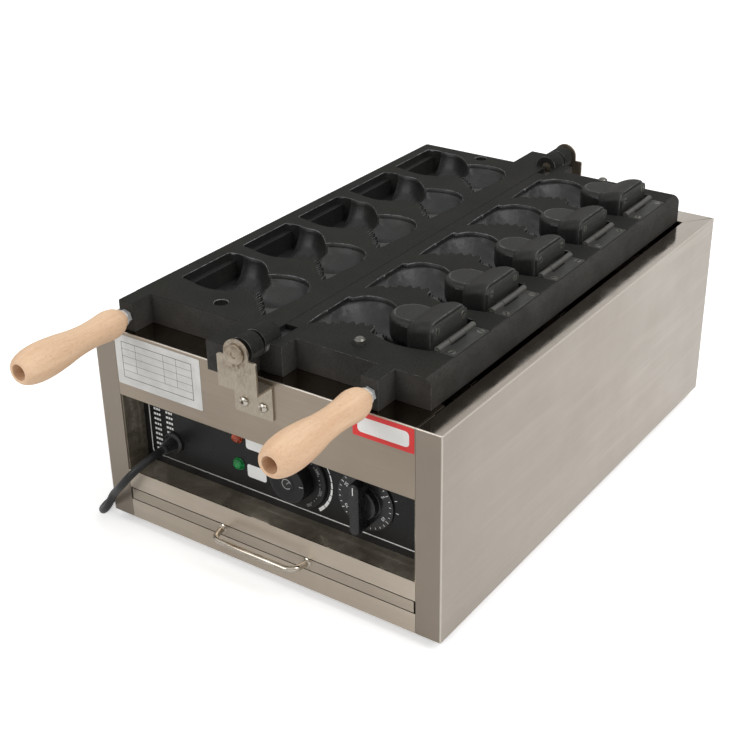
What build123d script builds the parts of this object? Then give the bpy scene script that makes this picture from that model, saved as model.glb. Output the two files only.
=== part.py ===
from build123d import *
import math
import os

# Egg bread maker: a stainless cabinet that carries two hinged mould plates.
# X runs along the front, Y goes from front to back, Z is up, all in millimetres.
# The origin lies on the table, under the middle of the whole machine without its mains lead.

# Cabinet
CABINET_W = 390.0
CABINET_D = 560.0
CABINET_H = 210.4
SHEET = 1.2
FOOT_H = 10.0
FOOT_R = 14.0
FOOT_TIP_R = 11.5
FOOT_INSET = 42.0
FOOT_STUD_R = 3.0
FOOT_STUD_L = 9.0
POST_W = 26.0
SIDE_FLANGE = 24.0
BACK_FLANGE = 29.0
FRONT_FLANGE = 45.0
BOTTOM_LIP = 14.0
FOLD_R = 1.0
PANEL_GAP = 0.3

# Heights on the front, above the cabinet's underside
RAIL_TOP = 21.0
SLOT_GAP = 1.0
STRIP_H = 12.0
LOWER_H = 20.5
OPENING_H = 85.0
TRAY_LOW = RAIL_TOP + SLOT_GAP
TRAY_HIGH = TRAY_LOW + STRIP_H
LOWER_LOW = TRAY_HIGH + SLOT_GAP
OPENING_LOW = LOWER_LOW + LOWER_H
OPENING_HIGH = OPENING_LOW + OPENING_H

# Control recess
RECESS_D = 28.0
PANEL_T = 1.5

# Mould plates
PLATE_INSET = 30.0
PLATE_W = CABINET_W / 2 - PLATE_INSET
PLATE_D = CABINET_D - 2 * PLATE_INSET
PLATE_T = 29.3
SEAT_GAP = 0.3
HALF_GAP = 0.25
EDGE_R = 8.0
CORNER_R = 2.0
ROWS = 5
PITCH = 92.0
FIRST_ROW = 110.0
RIM_DEPTH = 7.0
LOBE_DEPTH = 20.0
LOBE_U = 47.0
LOBE_V = -7.0
LOBE_HALF_U = 24.0
LOBE_HALF_V = 31.0
LOBE_DRAW = 6.0

# Hinge of the two plates
KNUCKLE_R = 12.5
KNUCKLE_CLEAR = 0.7
PIN_R = 6.0
PIN_HEAD_R = 9.5
PIN_HEAD_T = 3.0
RUNNING = 0.05
OUTER_KNUCKLE = (-14.0, 2.5)
MIDDLE_KNUCKLE = (5.0, 27.0)
PIN_END = MIDDLE_KNUCKLE[1] + 0.4
INNER_KNUCKLE = (28.0, 48.0)
LEFT_LUG_W = 40.0
RIGHT_LUG_W = 25.0
RIGHT_LUG_FRONT = 10.0
BRACKET_W = 43.0
BRACKET_T = 2.0
BRACKET_REACH = 22.0
BRACKET_FOOT_LOW = CABINET_H - 40.4
BRACKET_LEDGE = CABINET_H - 6.4
BRACKET_SHOULDER = CABINET_H + 25.6
EAR_R = KNUCKLE_R + 1.0
BRACKET_SCREW_X = 10.7
BRACKET_SCREW_Z = BRACKET_FOOT_LOW + 11.5
BRACKET_SCREW_R = 2.5
SCREW_HEAD_R = 4.9
SCREW_HEAD_T = 3.0
SCREW_RIM_T = 1.2
SCREW_CROWN_R = 3.0
SCREW_L = 9.0
SCREW_CLEAR = 0.1
HEX_R = 1.6
HEX_D = 1.8

# Handles; the profile gives the turned wood's radius at places along it, from the bolt end
HANDLE_L = 127.5
HANDLE_X_LEFT = -153.5
HANDLE_X_RIGHT = 120.5
HANDLE_LUG = 25.0
LUG_W = 17.0
NUT_T = 6.5
WASHER_T = 1.6
WASHER_R = 8.0
NUT_R = 7.2
BOLT_R = 4.0
BOLT_HOLE_D = 18.0
BOLT_HEAD_R = 6.6
BOLT_HEAD_T = 5.0
HANDLE_BORE_R = 4.3
END_BORE_R = 7.6
END_BORE_D = 28.0
HANDLE_PROFILE = (
    (0.0, 9.0),
    (6.0, 13.0),
    (14.0, 14.0),
    (46.0, 12.2),
    (92.0, 17.0),
    (116.0, 16.0),
    (HANDLE_L, 12.0),
)

# Hinged mould cores, measured from the hinge line and from the parting plane
CORE_SHIFT = -4.0
CORE_OUT = 134.0
CORE_MAIN = 96.0
CORE_HALF_W = 29.0
CORE_TOP = 22.5
CORE_BOTTOM = -19.0
CORE_R = 11.0
CORE_END_R = 7.0
NOSE_L = 20.0
NOSE_R = 17.5
LEAF_T = 2.5
LEAF_HALF_W = CORE_HALF_W - 1.0
LEAF_TOP = 20.0
BARREL_U = CORE_OUT + LEAF_T + 5.0
BARREL_Z = 1.0
BARREL_R = 3.2
BARREL_HALF_L = CORE_HALF_W + 1.0
MIDDLE_HALF_L = 12.0
KNUCKLE_GAP = 0.4
LEAF_STAND = 1.0
LEAF_OVERLAP = 2.0
LEAF_PIN_R = 1.5
FIXED_LEAF_OUT = BARREL_U + 17.5
LEAF_SCREW_R = 1.9
LEAF_SCREW_HEAD_R = 3.6
LEAF_SCREW_L = 9.0
CORE_SCREW_V = CORE_HALF_W - 8.0
CORE_SCREW_Z = 13.5
FIXED_SCREW_U = BARREL_U + 11.5
FIXED_SCREW_V = CORE_HALF_W - 5.0
LEAF_SEAT_IN = CORE_OUT + 1.0
LEAF_SEAT_CLEAR = 0.5

# Room for the cores in the two plates
CORE_GAP = 4.5
POCKET_IN = CORE_MAIN - 12.0
POCKET_HALF_W = CORE_HALF_W + CORE_GAP
POCKET_R = 6.0
POCKET_V = -2.0
NECK_R = 10.0
NECK_U = (CORE_MAIN - NOSE_L - 6.0, CORE_MAIN - 4.0)
NECK_HALF_W = NOSE_R + 5.0
NECK_DEPTH = NOSE_R + 3.5
LEFT_RIM_OUT = BARREL_U + 5.5
LEFT_POCKET_OUT = CORE_OUT + 5.5
LEFT_DEPTH = CORE_TOP + 2.5
RIGHT_RIM_OUT = CORE_OUT + LEAF_T
RIGHT_DEPTH = 4.0 - CORE_BOTTOM

# Locating pins of the two plates
LOCATOR_U = 78.0
LOCATOR_V = (52.0, CABINET_D - 40.0)
LOCATOR_R = 5.0
LOCATOR_H = 6.0
LOCATOR_SHANK_R = 4.0
LOCATOR_SHANK_L = 12.0
LOCATOR_TIP = 1.5
LOCATOR_HOLE_R = 6.6
LOCATOR_HOLE_D = 8.0

# Heating
HEATER_Z = CABINET_H - 15.4
HEATER_R = 4.0
HEATER_LANES = (30.0, 66.0, 102.0, 138.0)
HEATER_TURN = 0.98
HEATER_Y = (80.0, CABINET_D - 60.0)
HEATER_TAIL = 56.0
HEAT_TRAY_Z = HEATER_Z - 27.0
HEAT_TRAY_Y = (52.0, CABINET_D - 38.0)
HEAT_TRAY_WALL = 12.0
SADDLE_W = 10.0
SADDLE_GAP = 0.3
SADDLE_REACH = 12.0
SADDLE_Y = (120.0, 290.0, 460.0)

# Drip tray
TRAY_FRONT_W = CABINET_W - 2 * POST_W - 4.0
TRAY_W = TRAY_FRONT_W - 12.0
TRAY_D = 478.0
TRAY_LIFT = 0.5
RUNNER_GAP = 0.3
TRAY_SHEET = 1.0
TRAY_FRONT_T = 1.2
RUNNER_W = 16.0
BOW_HALF = 50.0
BOW_OUT = 18.5
BOW_SLANT = 1.5
BOW_BEND = 11.0
BOW_R = 2.6
BOW_RISE = 1.5
BOW_SEAT_R = 5.0
BOW_SEAT_T = 1.0

# Controls, on the recessed panel
DIAL_Z = 99.6
THERMOSTAT_X = 22.6
TIMER_X = 98.5
SPINDLE_R = 3.0
SPINDLE_OUT = 14.0
SPINDLE_IN = 6.0
SWITCH_BODY = (38.0, 30.0, 34.0)
KNOB_STAND = 0.6
KNOB_EDGE_R = 1.2
DIAL_R = 33.0
DIAL_T = 3.6
GRIP_R = 21.0
GRIP_T = 14.4
TIMER_DIAL_R = 30.0
TIMER_DIAL_T = 1.6
TIMER_HUB_R = 15.5
TIMER_HUB_T = 9.0
TIMER_BAR_W = 11.0
TIMER_BAR_L = 27.0
TIMER_BAR_T = 20.0
LAMP_X = -48.4
LAMP_GREEN_Z = 88.2
LAMP_ORANGE_Z = 118.0
LAMP_R = 6.6
LAMP_NECK_R = 4.6
LAMP_NECK_L = 18.0
LAMP_FLANGE_T = 1.5
LAMP_DOME = 5.0
LAMP_LENS_R = 5.8
LAMP_TIP_R = 3.6
GLAND_X = -130.0
GLAND_Z = 85.0
GLAND_R = 11.0
GLAND_FLANGE_T = 4.0
GLAND_NECK_R = 7.0
GLAND_MOUTH_R = 4.8
GLAND_LENGTH = 18.0
GLAND_TAIL = 8.0
BLOCK_SIZE = (60.0, 22.0, 18.0)
BLOCK_X = -142.0
BLOCK_Y = 70.0
SHELF_ROOM = 10.0
WIRE_R = 1.6
WIRE_BEND = 6.0
WIRE_RISER = 42.0
WIRE_ROOM = 14.0
WIRE_LIFT = 9.0
TERMINALS = (20.0, 4.0, -12.0, -24.0)
THERMOSTAT_TAB = -10.0
TIMER_TAB = 8.0
INLET_BEND = 16.0
LABEL_T = 0.3
RATING_PLATE = (-168.0, -63.0, CABINET_H - 56.4, CABINET_H - 3.4)
BADGE = (106.0, 168.0, CABINET_H - 25.4, CABINET_H - 1.4)

# Mains lead: its free route is counted from the middle of the cabinet's lower front edge
CORD_R = 3.9
CORD_Z = 4.9
CORD_ROUTE = (
    (-130.0, -2.0, 85.0),
    (-133.6, -16.8, 80.2),
    (-140.5, -26.5, 71.0),
    (-149.5, -29.0, 59.8),
    (-160.5, -25.5, 48.0),
    (-173.5, -20.5, 35.5),
    (-183.0, -20.0, 18.0),
    (-195.5, -16.0, 5.5),
    (-208.5, -5.0, -2.5),
    (-216.0, 13.5, -5.6),
    (-217.5, 40.0, -6.0),
    (-215.5, 78.0, -6.0),
    (-214.5, 120.0, -5.8),
    (-216.5, 164.0, -5.4),
)
LAST_RUN = 40.0
CORD_GAP = 0.6
COIL_TURNS = 2
COIL_OUT = 51.0
COIL_X = -267.0
COIL_Y = 258.0
RUN_SHARE = 0.45
TIE_W = 12.0
TIE_T = 0.8
TIE_ROOM = 0.5
TAIL_L = 32.0
PLUG_W = 26.0
PLUG_H = 24.0
PLUG_L = 38.0
PLUG_R = 5.0
PLUG_COLLAR_R = 7.0
PLUG_COLLAR_L = 14.0
PLUG_PIN_R = 2.4
PLUG_PIN_L = 19.0
PLUG_PIN_SPACING = 19.0

# Places that follow from the sizes above
REACH = HANDLE_LUG + NUT_T + HANDLE_L - PLATE_INSET
REAR_REACH = BRACKET_REACH + PIN_HEAD_T
FRONT = (REACH - CABINET_D - REAR_REACH) / 2
BACK = FRONT + CABINET_D
HALF_W = CABINET_W / 2
BASE = FOOT_H
TOP = BASE + CABINET_H
PART_Z = TOP + SEAT_GAP + PLATE_T
AXIS_Z = PART_Z + HALF_GAP
PLATE_LOW = PART_Z - PLATE_T
PANEL_X = HALF_W - POST_W
PANEL_Y = FRONT + RECESS_D
PLATE_FRONT = FRONT + PLATE_INSET
PLATE_BACK = PLATE_FRONT + PLATE_D
ROW_Y = [FRONT + FIRST_ROW + PITCH * row for row in range(ROWS)]
CORE_Y = [row_y + CORE_SHIFT for row_y in ROW_Y]
HANDLE_Z = PART_Z - PLATE_T / 2
LUG_FRONT = PLATE_FRONT - HANDLE_LUG

os.makedirs("parts", exist_ok=True)
ALL_PARTS = []


def keep(part, name):
    """Labels a finished piece and writes its file."""
    part.label = name
    export_step(part, f"parts/{name}.step")
    ALL_PARTS.append(part)


def slab(low, high, mode=Mode.ADD):
    """A box between two opposite corners."""
    centre = tuple((a + b) / 2 for a, b in zip(low, high))
    size = tuple(b - a for a, b in zip(low, high))
    with Locations(centre):
        Box(*size, mode=mode)


def rod(start, end, radius, mode=Mode.ADD):
    """A round bar between two points."""
    line = Vector(*end) - Vector(*start)
    with Locations(Plane(origin=start, z_dir=line).location):
        Cylinder(radius, line.length, align=(Align.CENTER, Align.CENTER, Align.MIN), mode=mode)


def cone(start, end, radius_start, radius_end, mode=Mode.ADD):
    """A round taper between two points."""
    line = Vector(*end) - Vector(*start)
    with Locations(Plane(origin=start, z_dir=line).location):
        Cone(radius_start, radius_end, line.length, align=(Align.CENTER, Align.CENTER, Align.MIN), mode=mode)


# Sheet metal of the cabinet

def side_panel(side):
    """One side wall with its front post, its top flange and its bottom lip, folded from one sheet."""
    outer = side * HALF_W
    inner = side * (HALF_W - SHEET)
    with BuildPart() as panel:
        with BuildSketch(Plane.XY.offset(BASE)):
            with BuildLine():
                Polyline(
                    (outer, FRONT),
                    (outer, BACK),
                    (inner, BACK),
                    (inner, FRONT + SHEET),
                    (side * (PANEL_X + SHEET), FRONT + SHEET),
                    (side * (PANEL_X + SHEET), FRONT + RECESS_D),
                    (side * PANEL_X, FRONT + RECESS_D),
                    (side * PANEL_X, FRONT),
                    close=True,
                )
            make_face()
        extrude(amount=CABINET_H)
        with BuildSketch(Plane.XY.offset(TOP - SHEET)):
            with BuildLine():
                Polyline(
                    (outer, FRONT),
                    (outer, BACK),
                    (side * (HALF_W - SIDE_FLANGE), BACK - BACK_FLANGE),
                    (side * (HALF_W - SIDE_FLANGE), FRONT),
                    close=True,
                )
            make_face()
        extrude(amount=SHEET)
        slab(
            (min(inner, inner - side * BOTTOM_LIP), FRONT + RECESS_D, BASE),
            (max(inner, inner - side * BOTTOM_LIP), BACK - SHEET - PANEL_GAP, BASE + SHEET),
        )
        outermost = -1 if side > 0 else 0
        top_fold = panel.edges().filter_by(Axis.Y).filter_by_position(Axis.Z, TOP - 0.1, TOP + 0.1)
        fillet(top_fold.sort_by(Axis.X)[outermost], radius=FOLD_R)
        front_fold = panel.edges().filter_by(Axis.Z).filter_by_position(Axis.Y, FRONT - 0.1, FRONT + 0.1)
        fillet(front_fold.sort_by(Axis.X)[outermost], radius=FOLD_R)
    return panel.part


keep(side_panel(-1), "side_panel_left")
keep(side_panel(1), "side_panel_right")


def bracket_holes(y):
    """The two holes for a hinge bracket's screws, through the sheet that starts at y."""
    for x in (-BRACKET_SCREW_X, BRACKET_SCREW_X):
        z = BASE + BRACKET_SCREW_Z
        rod((x, y - 1, z), (x, y + SHEET + 1, z), BRACKET_SCREW_R + SCREW_CLEAR, mode=Mode.SUBTRACT)


with BuildPart() as back_panel:
    back_x = HALF_W - SHEET - PANEL_GAP
    slab((-back_x, BACK - SHEET, BASE), (back_x, BACK, TOP))
    with BuildSketch(Plane.XY.offset(TOP - SHEET)):
        with BuildLine():
            Polyline(
                (-back_x, BACK),
                (-HALF_W + SIDE_FLANGE + PANEL_GAP, BACK - BACK_FLANGE),
                (HALF_W - SIDE_FLANGE - PANEL_GAP, BACK - BACK_FLANGE),
                (back_x, BACK),
                close=True,
            )
        make_face()
    extrude(amount=SHEET)
    bracket_holes(BACK - SHEET)
keep(back_panel.part, "back_panel")

with BuildPart() as front_upper_panel:
    slab((-PANEL_X + PANEL_GAP, FRONT, BASE + OPENING_HIGH), (PANEL_X - PANEL_GAP, FRONT + SHEET, TOP))
    slab((-PANEL_X + PANEL_GAP, FRONT, TOP - SHEET), (PANEL_X - PANEL_GAP, FRONT + FRONT_FLANGE, TOP))
    top_fold = front_upper_panel.edges().filter_by(Axis.X).group_by(Axis.Z)[-1].sort_by(Axis.Y)[0]
    fillet(top_fold, radius=FOLD_R)
    bracket_holes(FRONT)
keep(front_upper_panel.part, "front_upper_panel")

with BuildPart() as front_lower_panel:
    slab((-PANEL_X + PANEL_GAP, FRONT, BASE + LOWER_LOW), (PANEL_X - PANEL_GAP, FRONT + SHEET, BASE + OPENING_LOW))
    slab(
        (-PANEL_X + PANEL_GAP, FRONT, BASE + LOWER_LOW),
        (PANEL_X - PANEL_GAP, FRONT + BOTTOM_LIP, BASE + LOWER_LOW + SHEET),
    )
keep(front_lower_panel.part, "front_lower_panel")

with BuildPart() as bottom_rail:
    slab((-PANEL_X + PANEL_GAP, FRONT, BASE), (PANEL_X - PANEL_GAP, FRONT + SHEET, BASE + RAIL_TOP))
    slab(
        (-PANEL_X + PANEL_GAP, FRONT, BASE + RAIL_TOP - SHEET),
        (PANEL_X - PANEL_GAP, FRONT + BOTTOM_LIP, BASE + RAIL_TOP),
    )
keep(bottom_rail.part, "bottom_rail")

BASE_X = HALF_W - SHEET - PANEL_GAP
FOOT_X = HALF_W - FOOT_INSET
FOOT_SPOTS = [(x, y) for x in (-FOOT_X, FOOT_X) for y in (FRONT + FOOT_INSET, BACK - FOOT_INSET)]
with BuildPart() as base_pan:
    slab(
        (-BASE_X, FRONT + RECESS_D, BASE + SHEET),
        (BASE_X, BACK - SHEET - PANEL_GAP, BASE + 2 * SHEET),
    )
    slab(
        (-PANEL_X + PANEL_GAP, FRONT + SHEET, BASE + SHEET),
        (PANEL_X - PANEL_GAP, FRONT + RECESS_D, BASE + 2 * SHEET),
    )
    with Locations([(x, y, BASE + 2 * SHEET) for x, y in FOOT_SPOTS]):
        Hole(FOOT_STUD_R + SCREW_CLEAR, depth=3 * SHEET)
keep(base_pan.part, "base_pan")

with BuildPart() as rubber_feet:
    for x, y in FOOT_SPOTS:
        cone((x, y, 0), (x, y, FOOT_H + SHEET), FOOT_TIP_R, FOOT_R)
        rod((x, y, FOOT_H), (x, y, FOOT_H + FOOT_STUD_L), FOOT_STUD_R)
keep(rubber_feet.part, "rubber_feet")

with BuildPart() as recess_liner:
    liner_x = PANEL_X - PANEL_GAP
    low = BASE + OPENING_LOW
    high = BASE + OPENING_HIGH
    slab((-liner_x, FRONT + SHEET, low - SHEET), (liner_x, PANEL_Y, low))
    slab((-liner_x, FRONT + SHEET, high), (liner_x, PANEL_Y, high + SHEET))
    slab((-liner_x, FRONT + SHEET, low), (-liner_x + SHEET, PANEL_Y, high))
    slab((liner_x - SHEET, FRONT + SHEET, low), (liner_x, PANEL_Y, high))
keep(recess_liner.part, "recess_liner")

with BuildPart() as control_panel:
    slab(
        (-PANEL_X + PANEL_GAP, PANEL_Y, BASE + OPENING_LOW - SHEET),
        (PANEL_X - PANEL_GAP, PANEL_Y + PANEL_T, BASE + OPENING_HIGH + SHEET),
    )
    for x, z, radius in (
        (THERMOSTAT_X, DIAL_Z, SPINDLE_R + RUNNING),
        (TIMER_X, DIAL_Z, SPINDLE_R + RUNNING),
        (LAMP_X, LAMP_GREEN_Z, LAMP_NECK_R + SCREW_CLEAR),
        (LAMP_X, LAMP_ORANGE_Z, LAMP_NECK_R + SCREW_CLEAR),
        (GLAND_X, GLAND_Z, GLAND_NECK_R + SCREW_CLEAR),
    ):
        rod((x, PANEL_Y - 1, BASE + z), (x, PANEL_Y + PANEL_T + 1, BASE + z), radius, mode=Mode.SUBTRACT)
keep(control_panel.part, "control_panel")


# Hinge brackets, screws and pins

def bracket(face, out):
    """A folded bracket: foot on the wall, ledge, and an upright plate with a round ear."""
    far = face + out * BRACKET_REACH
    near = far - out * BRACKET_T
    with BuildPart() as piece:
        foot = sorted((face, face + out * BRACKET_T))
        ledge = sorted((face, far))
        upright = sorted((far, near))
        half = BRACKET_W / 2
        slab((-half, foot[0], BASE + BRACKET_FOOT_LOW), (half, foot[1], BASE + BRACKET_LEDGE))
        slab(
            (-half, ledge[0], BASE + BRACKET_LEDGE),
            (half, ledge[1], BASE + BRACKET_LEDGE + BRACKET_T),
        )
        slab((-half, upright[0], BASE + BRACKET_LEDGE), (half, upright[1], BASE + BRACKET_SHOULDER))
        slab((-EAR_R, upright[0], BASE + BRACKET_LEDGE), (EAR_R, upright[1], AXIS_Z))
        rod((0, upright[0], AXIS_Z), (0, upright[1], AXIS_Z), EAR_R)
        rod((0, upright[0] - 1, AXIS_Z), (0, upright[1] + 1, AXIS_Z), PIN_R + RUNNING, mode=Mode.SUBTRACT)
        for x in (-BRACKET_SCREW_X, BRACKET_SCREW_X):
            z = BASE + BRACKET_SCREW_Z
            rod((x, foot[0] - 1, z), (x, foot[1] + 1, z), BRACKET_SCREW_R + SCREW_CLEAR, mode=Mode.SUBTRACT)
        corners = piece.edges().filter_by(Axis.Y).filter_by_position(Axis.X, half - 0.1, half + 0.1)
        corners += piece.edges().filter_by(Axis.Y).filter_by_position(Axis.X, -half - 0.1, -half + 0.1)
        fillet(corners.group_by(Axis.Z)[0] + corners.group_by(Axis.Z)[-1], radius=CORNER_R)
    return piece.part


keep(bracket(FRONT, -1), "hinge_bracket_front")
keep(bracket(BACK, 1), "hinge_bracket_rear")

with BuildPart() as bracket_screws:
    for face, out in ((FRONT, -1), (BACK, 1)):
        seat = face + out * BRACKET_T
        for x in (-BRACKET_SCREW_X, BRACKET_SCREW_X):
            z = BASE + BRACKET_SCREW_Z
            rod((x, seat, z), (x, seat - out * SCREW_L, z), BRACKET_SCREW_R)
            rim = seat + out * SCREW_RIM_T
            end = seat + out * SCREW_HEAD_T
            rod((x, seat, z), (x, rim, z), SCREW_HEAD_R)
            cone((x, rim, z), (x, end, z), SCREW_HEAD_R, SCREW_CROWN_R)
            rod((x, end, z), (x, end - out * HEX_D, z), HEX_R, mode=Mode.SUBTRACT)
keep(bracket_screws.part, "bracket_screws")

with BuildPart() as hinge_pins:
    for face, out in ((FRONT, -1), (BACK, 1)):
        outside = face + out * BRACKET_REACH
        rod((0, outside, AXIS_Z), (0, outside + out * PIN_HEAD_T, AXIS_Z), PIN_HEAD_R)
        rod((0, outside, AXIS_Z), (0, face - out * PIN_END, AXIS_Z), PIN_R)
keep(hinge_pins.part, "hinge_pins")


# Mould plates

def end_spans(span):
    """The same stretch of the hinge at the front end and, mirrored, at the back end."""
    return ((FRONT + span[0], FRONT + span[1]), (BACK - span[1], BACK - span[0]))


def plate_body(side, lug_w, lug_front):
    """The cast slab of one plate with its hinge lugs at both ends."""
    near = side * HALF_GAP
    far = side * PLATE_W
    slab((min(near, far), PLATE_FRONT, PLATE_LOW), (max(near, far), PLATE_BACK, PART_Z))
    lug = side * lug_w
    for y0, y1 in (
        (FRONT + lug_front, PLATE_FRONT + EDGE_R),
        (PLATE_BACK - EDGE_R, BACK - lug_front),
    ):
        slab((min(near, lug), y0, PLATE_LOW), (max(near, lug), y1, PART_Z))


def handle_lug(x):
    """The lug at the front that carries a handle."""
    slab((x - LUG_W / 2, LUG_FRONT, PLATE_LOW), (x + LUG_W / 2, PLATE_FRONT + EDGE_R, PART_Z))


def knuckles(spans):
    """The hinge barrels of a plate."""
    for span in spans:
        for y0, y1 in end_spans(span):
            rod((0, y0, AXIS_Z), (0, y1, AXIS_Z), KNUCKLE_R)


def knuckle_clearance(spans):
    """Room for the other plate's barrels."""
    for span in spans:
        gap = (span[0] - KNUCKLE_CLEAR, span[1] + KNUCKLE_CLEAR)
        for y0, y1 in end_spans(gap):
            rod((0, y0, AXIS_Z), (0, y1, AXIS_Z), KNUCKLE_R + KNUCKLE_CLEAR, mode=Mode.SUBTRACT)


def pin_bores():
    """The running bores for the two hinge pins."""
    for y0, y1 in end_spans((OUTER_KNUCKLE[0] - 1, PIN_END + SCREW_CLEAR)):
        rod((0, y0, AXIS_Z), (0, y1, AXIS_Z), PIN_R + RUNNING, mode=Mode.SUBTRACT)


def cavity_rim(side, row_y, outer):
    """The shallow rim of a cavity: a body lobe and a head lobe with a toothed fin between them."""
    def at(u, v):
        return (side * u, row_y + v)

    with BuildSketch(Plane.XY.offset(PART_Z)) as rim:
        with BuildLine():
            Polyline(
                at(84, -24),
                at(79, -22),
                at(74, -26),
                at(69, -23),
                at(64, -29),
                at(58, -27),
                at(53, -34),
                at(46, -33),
                at(40, -42),
                at(33, -43),
                at(21, -55),
                at(19, 12),
            )
            ThreePointArc(at(19, 12), at(45, 29), at(73, 14))
            Line(at(73, 14), at(76, 17))
            ThreePointArc(at(76, 17), at(88, 32), at(108, 38))
            Line(at(108, 38), at(outer, 37))
            Line(at(outer, 37), at(outer, -36))
            ThreePointArc(at(outer, -36), at(110, -40), at(84, -35))
            Line(at(84, -35), at(84, -24))
        make_face()
    extrude(rim.sketch, amount=-RIM_DEPTH, mode=Mode.SUBTRACT)


def cavity_lobes(side, row_y, outer, depth):
    """The deep parts of a cavity: the domed body lobe, and the head pocket around the core."""
    with BuildSketch(Plane.XY.offset(PART_Z - RIM_DEPTH)) as lobe_top:
        with Locations((side * LOBE_U, row_y + LOBE_V)):
            Ellipse(LOBE_HALF_U, LOBE_HALF_V)
    with BuildSketch(Plane.XY.offset(PART_Z - LOBE_DEPTH)) as lobe_floor:
        with Locations((side * LOBE_U, row_y + LOBE_V)):
            Ellipse(LOBE_HALF_U - LOBE_DRAW, LOBE_HALF_V - LOBE_DRAW)
    loft([lobe_top.sketch.face(), lobe_floor.sketch.face()], ruled=True, mode=Mode.SUBTRACT)
    with BuildSketch(Plane.XY.offset(PART_Z)) as pocket:
        with Locations((side * (POCKET_IN + outer) / 2, row_y + POCKET_V)):
            RectangleRounded(outer - POCKET_IN, 2 * POCKET_HALF_W, POCKET_R)
    extrude(pocket.sketch, amount=-depth, mode=Mode.SUBTRACT)
    with BuildSketch(Plane.XY.offset(PART_Z)) as neck:
        with Locations((side * (NECK_U[0] + NECK_U[1]) / 2, row_y + CORE_SHIFT)):
            RectangleRounded(NECK_U[1] - NECK_U[0], 2 * NECK_HALF_W, NECK_R)
    extrude(neck.sketch, amount=-NECK_DEPTH, mode=Mode.SUBTRACT)


def bolt_bore(x):
    """The threaded hole in a lug for the handle's bolt."""
    floor = (x, LUG_FRONT + BOLT_HOLE_D, HANDLE_Z)
    rod((x, LUG_FRONT - 1, HANDLE_Z), floor, BOLT_R + RUNNING, mode=Mode.SUBTRACT)


def rounded_edges(part, side):
    """The outer top edge of a plate, which is the one with the large cast radius."""
    edges = part.edges().filter_by(Axis.Y).filter_by_position(Axis.Z, PART_Z - 0.1, PART_Z + 0.1)
    return edges.sort_by(Axis.X)[-1 if side > 0 else 0]


with BuildPart() as mould_plate_left:
    plate_body(-1, LEFT_LUG_W, OUTER_KNUCKLE[0])
    fillet(rounded_edges(mould_plate_left, -1), radius=EDGE_R)
    handle_lug(HANDLE_X_LEFT)
    knuckles((OUTER_KNUCKLE,))
    for y0, y1 in end_spans(INNER_KNUCKLE):
        rod((0, y0, AXIS_Z), (0, y1, AXIS_Z), KNUCKLE_R)
        slab((-KNUCKLE_R, y0, PART_Z), (KNUCKLE_R, y1, PART_Z + KNUCKLE_R + 1), mode=Mode.SUBTRACT)
    knuckle_clearance((MIDDLE_KNUCKLE,))
    pin_bores()
    for row in ROW_Y:
        cavity_rim(-1, row, LEFT_RIM_OUT)
        cavity_lobes(-1, row, LEFT_POCKET_OUT, LEFT_DEPTH)
    bolt_bore(HANDLE_X_LEFT)
    for v in LOCATOR_V:
        top = (-LOCATOR_U, FRONT + v, PART_Z)
        floor = (top[0], top[1], PART_Z - LOCATOR_HOLE_D)
        rod(floor, top, LOCATOR_HOLE_R, mode=Mode.SUBTRACT)
keep(mould_plate_left.part, "mould_plate_left")

with BuildPart() as mould_plate_right:
    plate_body(1, RIGHT_LUG_W, RIGHT_LUG_FRONT)
    fillet(rounded_edges(mould_plate_right, 1), radius=EDGE_R)
    handle_lug(HANDLE_X_RIGHT)
    knuckles((MIDDLE_KNUCKLE,))
    knuckle_clearance((OUTER_KNUCKLE, INNER_KNUCKLE))
    pin_bores()
    for row in ROW_Y:
        cavity_rim(1, row, RIGHT_RIM_OUT)
        cavity_lobes(1, row, RIGHT_RIM_OUT, RIGHT_DEPTH)
    for row in CORE_Y:
        slab(
            (LEAF_SEAT_IN, row - BARREL_HALF_L - LEAF_SEAT_CLEAR, PART_Z - LEAF_T),
            (FIXED_LEAF_OUT + LEAF_SEAT_CLEAR, row + BARREL_HALF_L + LEAF_SEAT_CLEAR, PART_Z + 1),
            mode=Mode.SUBTRACT,
        )
        for v in (-FIXED_SCREW_V, FIXED_SCREW_V):
            spot = (FIXED_SCREW_U, row + v, PART_Z)
            floor = (FIXED_SCREW_U, row + v, PART_Z - LEAF_SCREW_L - 1)
            rod(floor, spot, LEAF_SCREW_R + SCREW_CLEAR, mode=Mode.SUBTRACT)
    bolt_bore(HANDLE_X_RIGHT)
    for v in LOCATOR_V:
        top = (LOCATOR_U, FRONT + v, PART_Z)
        floor = (top[0], top[1], PART_Z - LOCATOR_SHANK_L - 1)
        rod(floor, top, LOCATOR_SHANK_R + RUNNING, mode=Mode.SUBTRACT)
keep(mould_plate_right.part, "mould_plate_right")

with BuildPart() as locating_pins:
    for v in LOCATOR_V:
        x, y = LOCATOR_U, FRONT + v
        rod((x, y, PART_Z - LOCATOR_SHANK_L), (x, y, PART_Z), LOCATOR_SHANK_R)
        rod((x, y, PART_Z), (x, y, PART_Z + LOCATOR_H - LOCATOR_TIP), LOCATOR_R)
        cone((x, y, PART_Z + LOCATOR_H - LOCATOR_TIP), (x, y, PART_Z + LOCATOR_H), LOCATOR_R, LOCATOR_R - LOCATOR_TIP)
keep(locating_pins.part, "locating_pins")


# Handles

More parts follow.
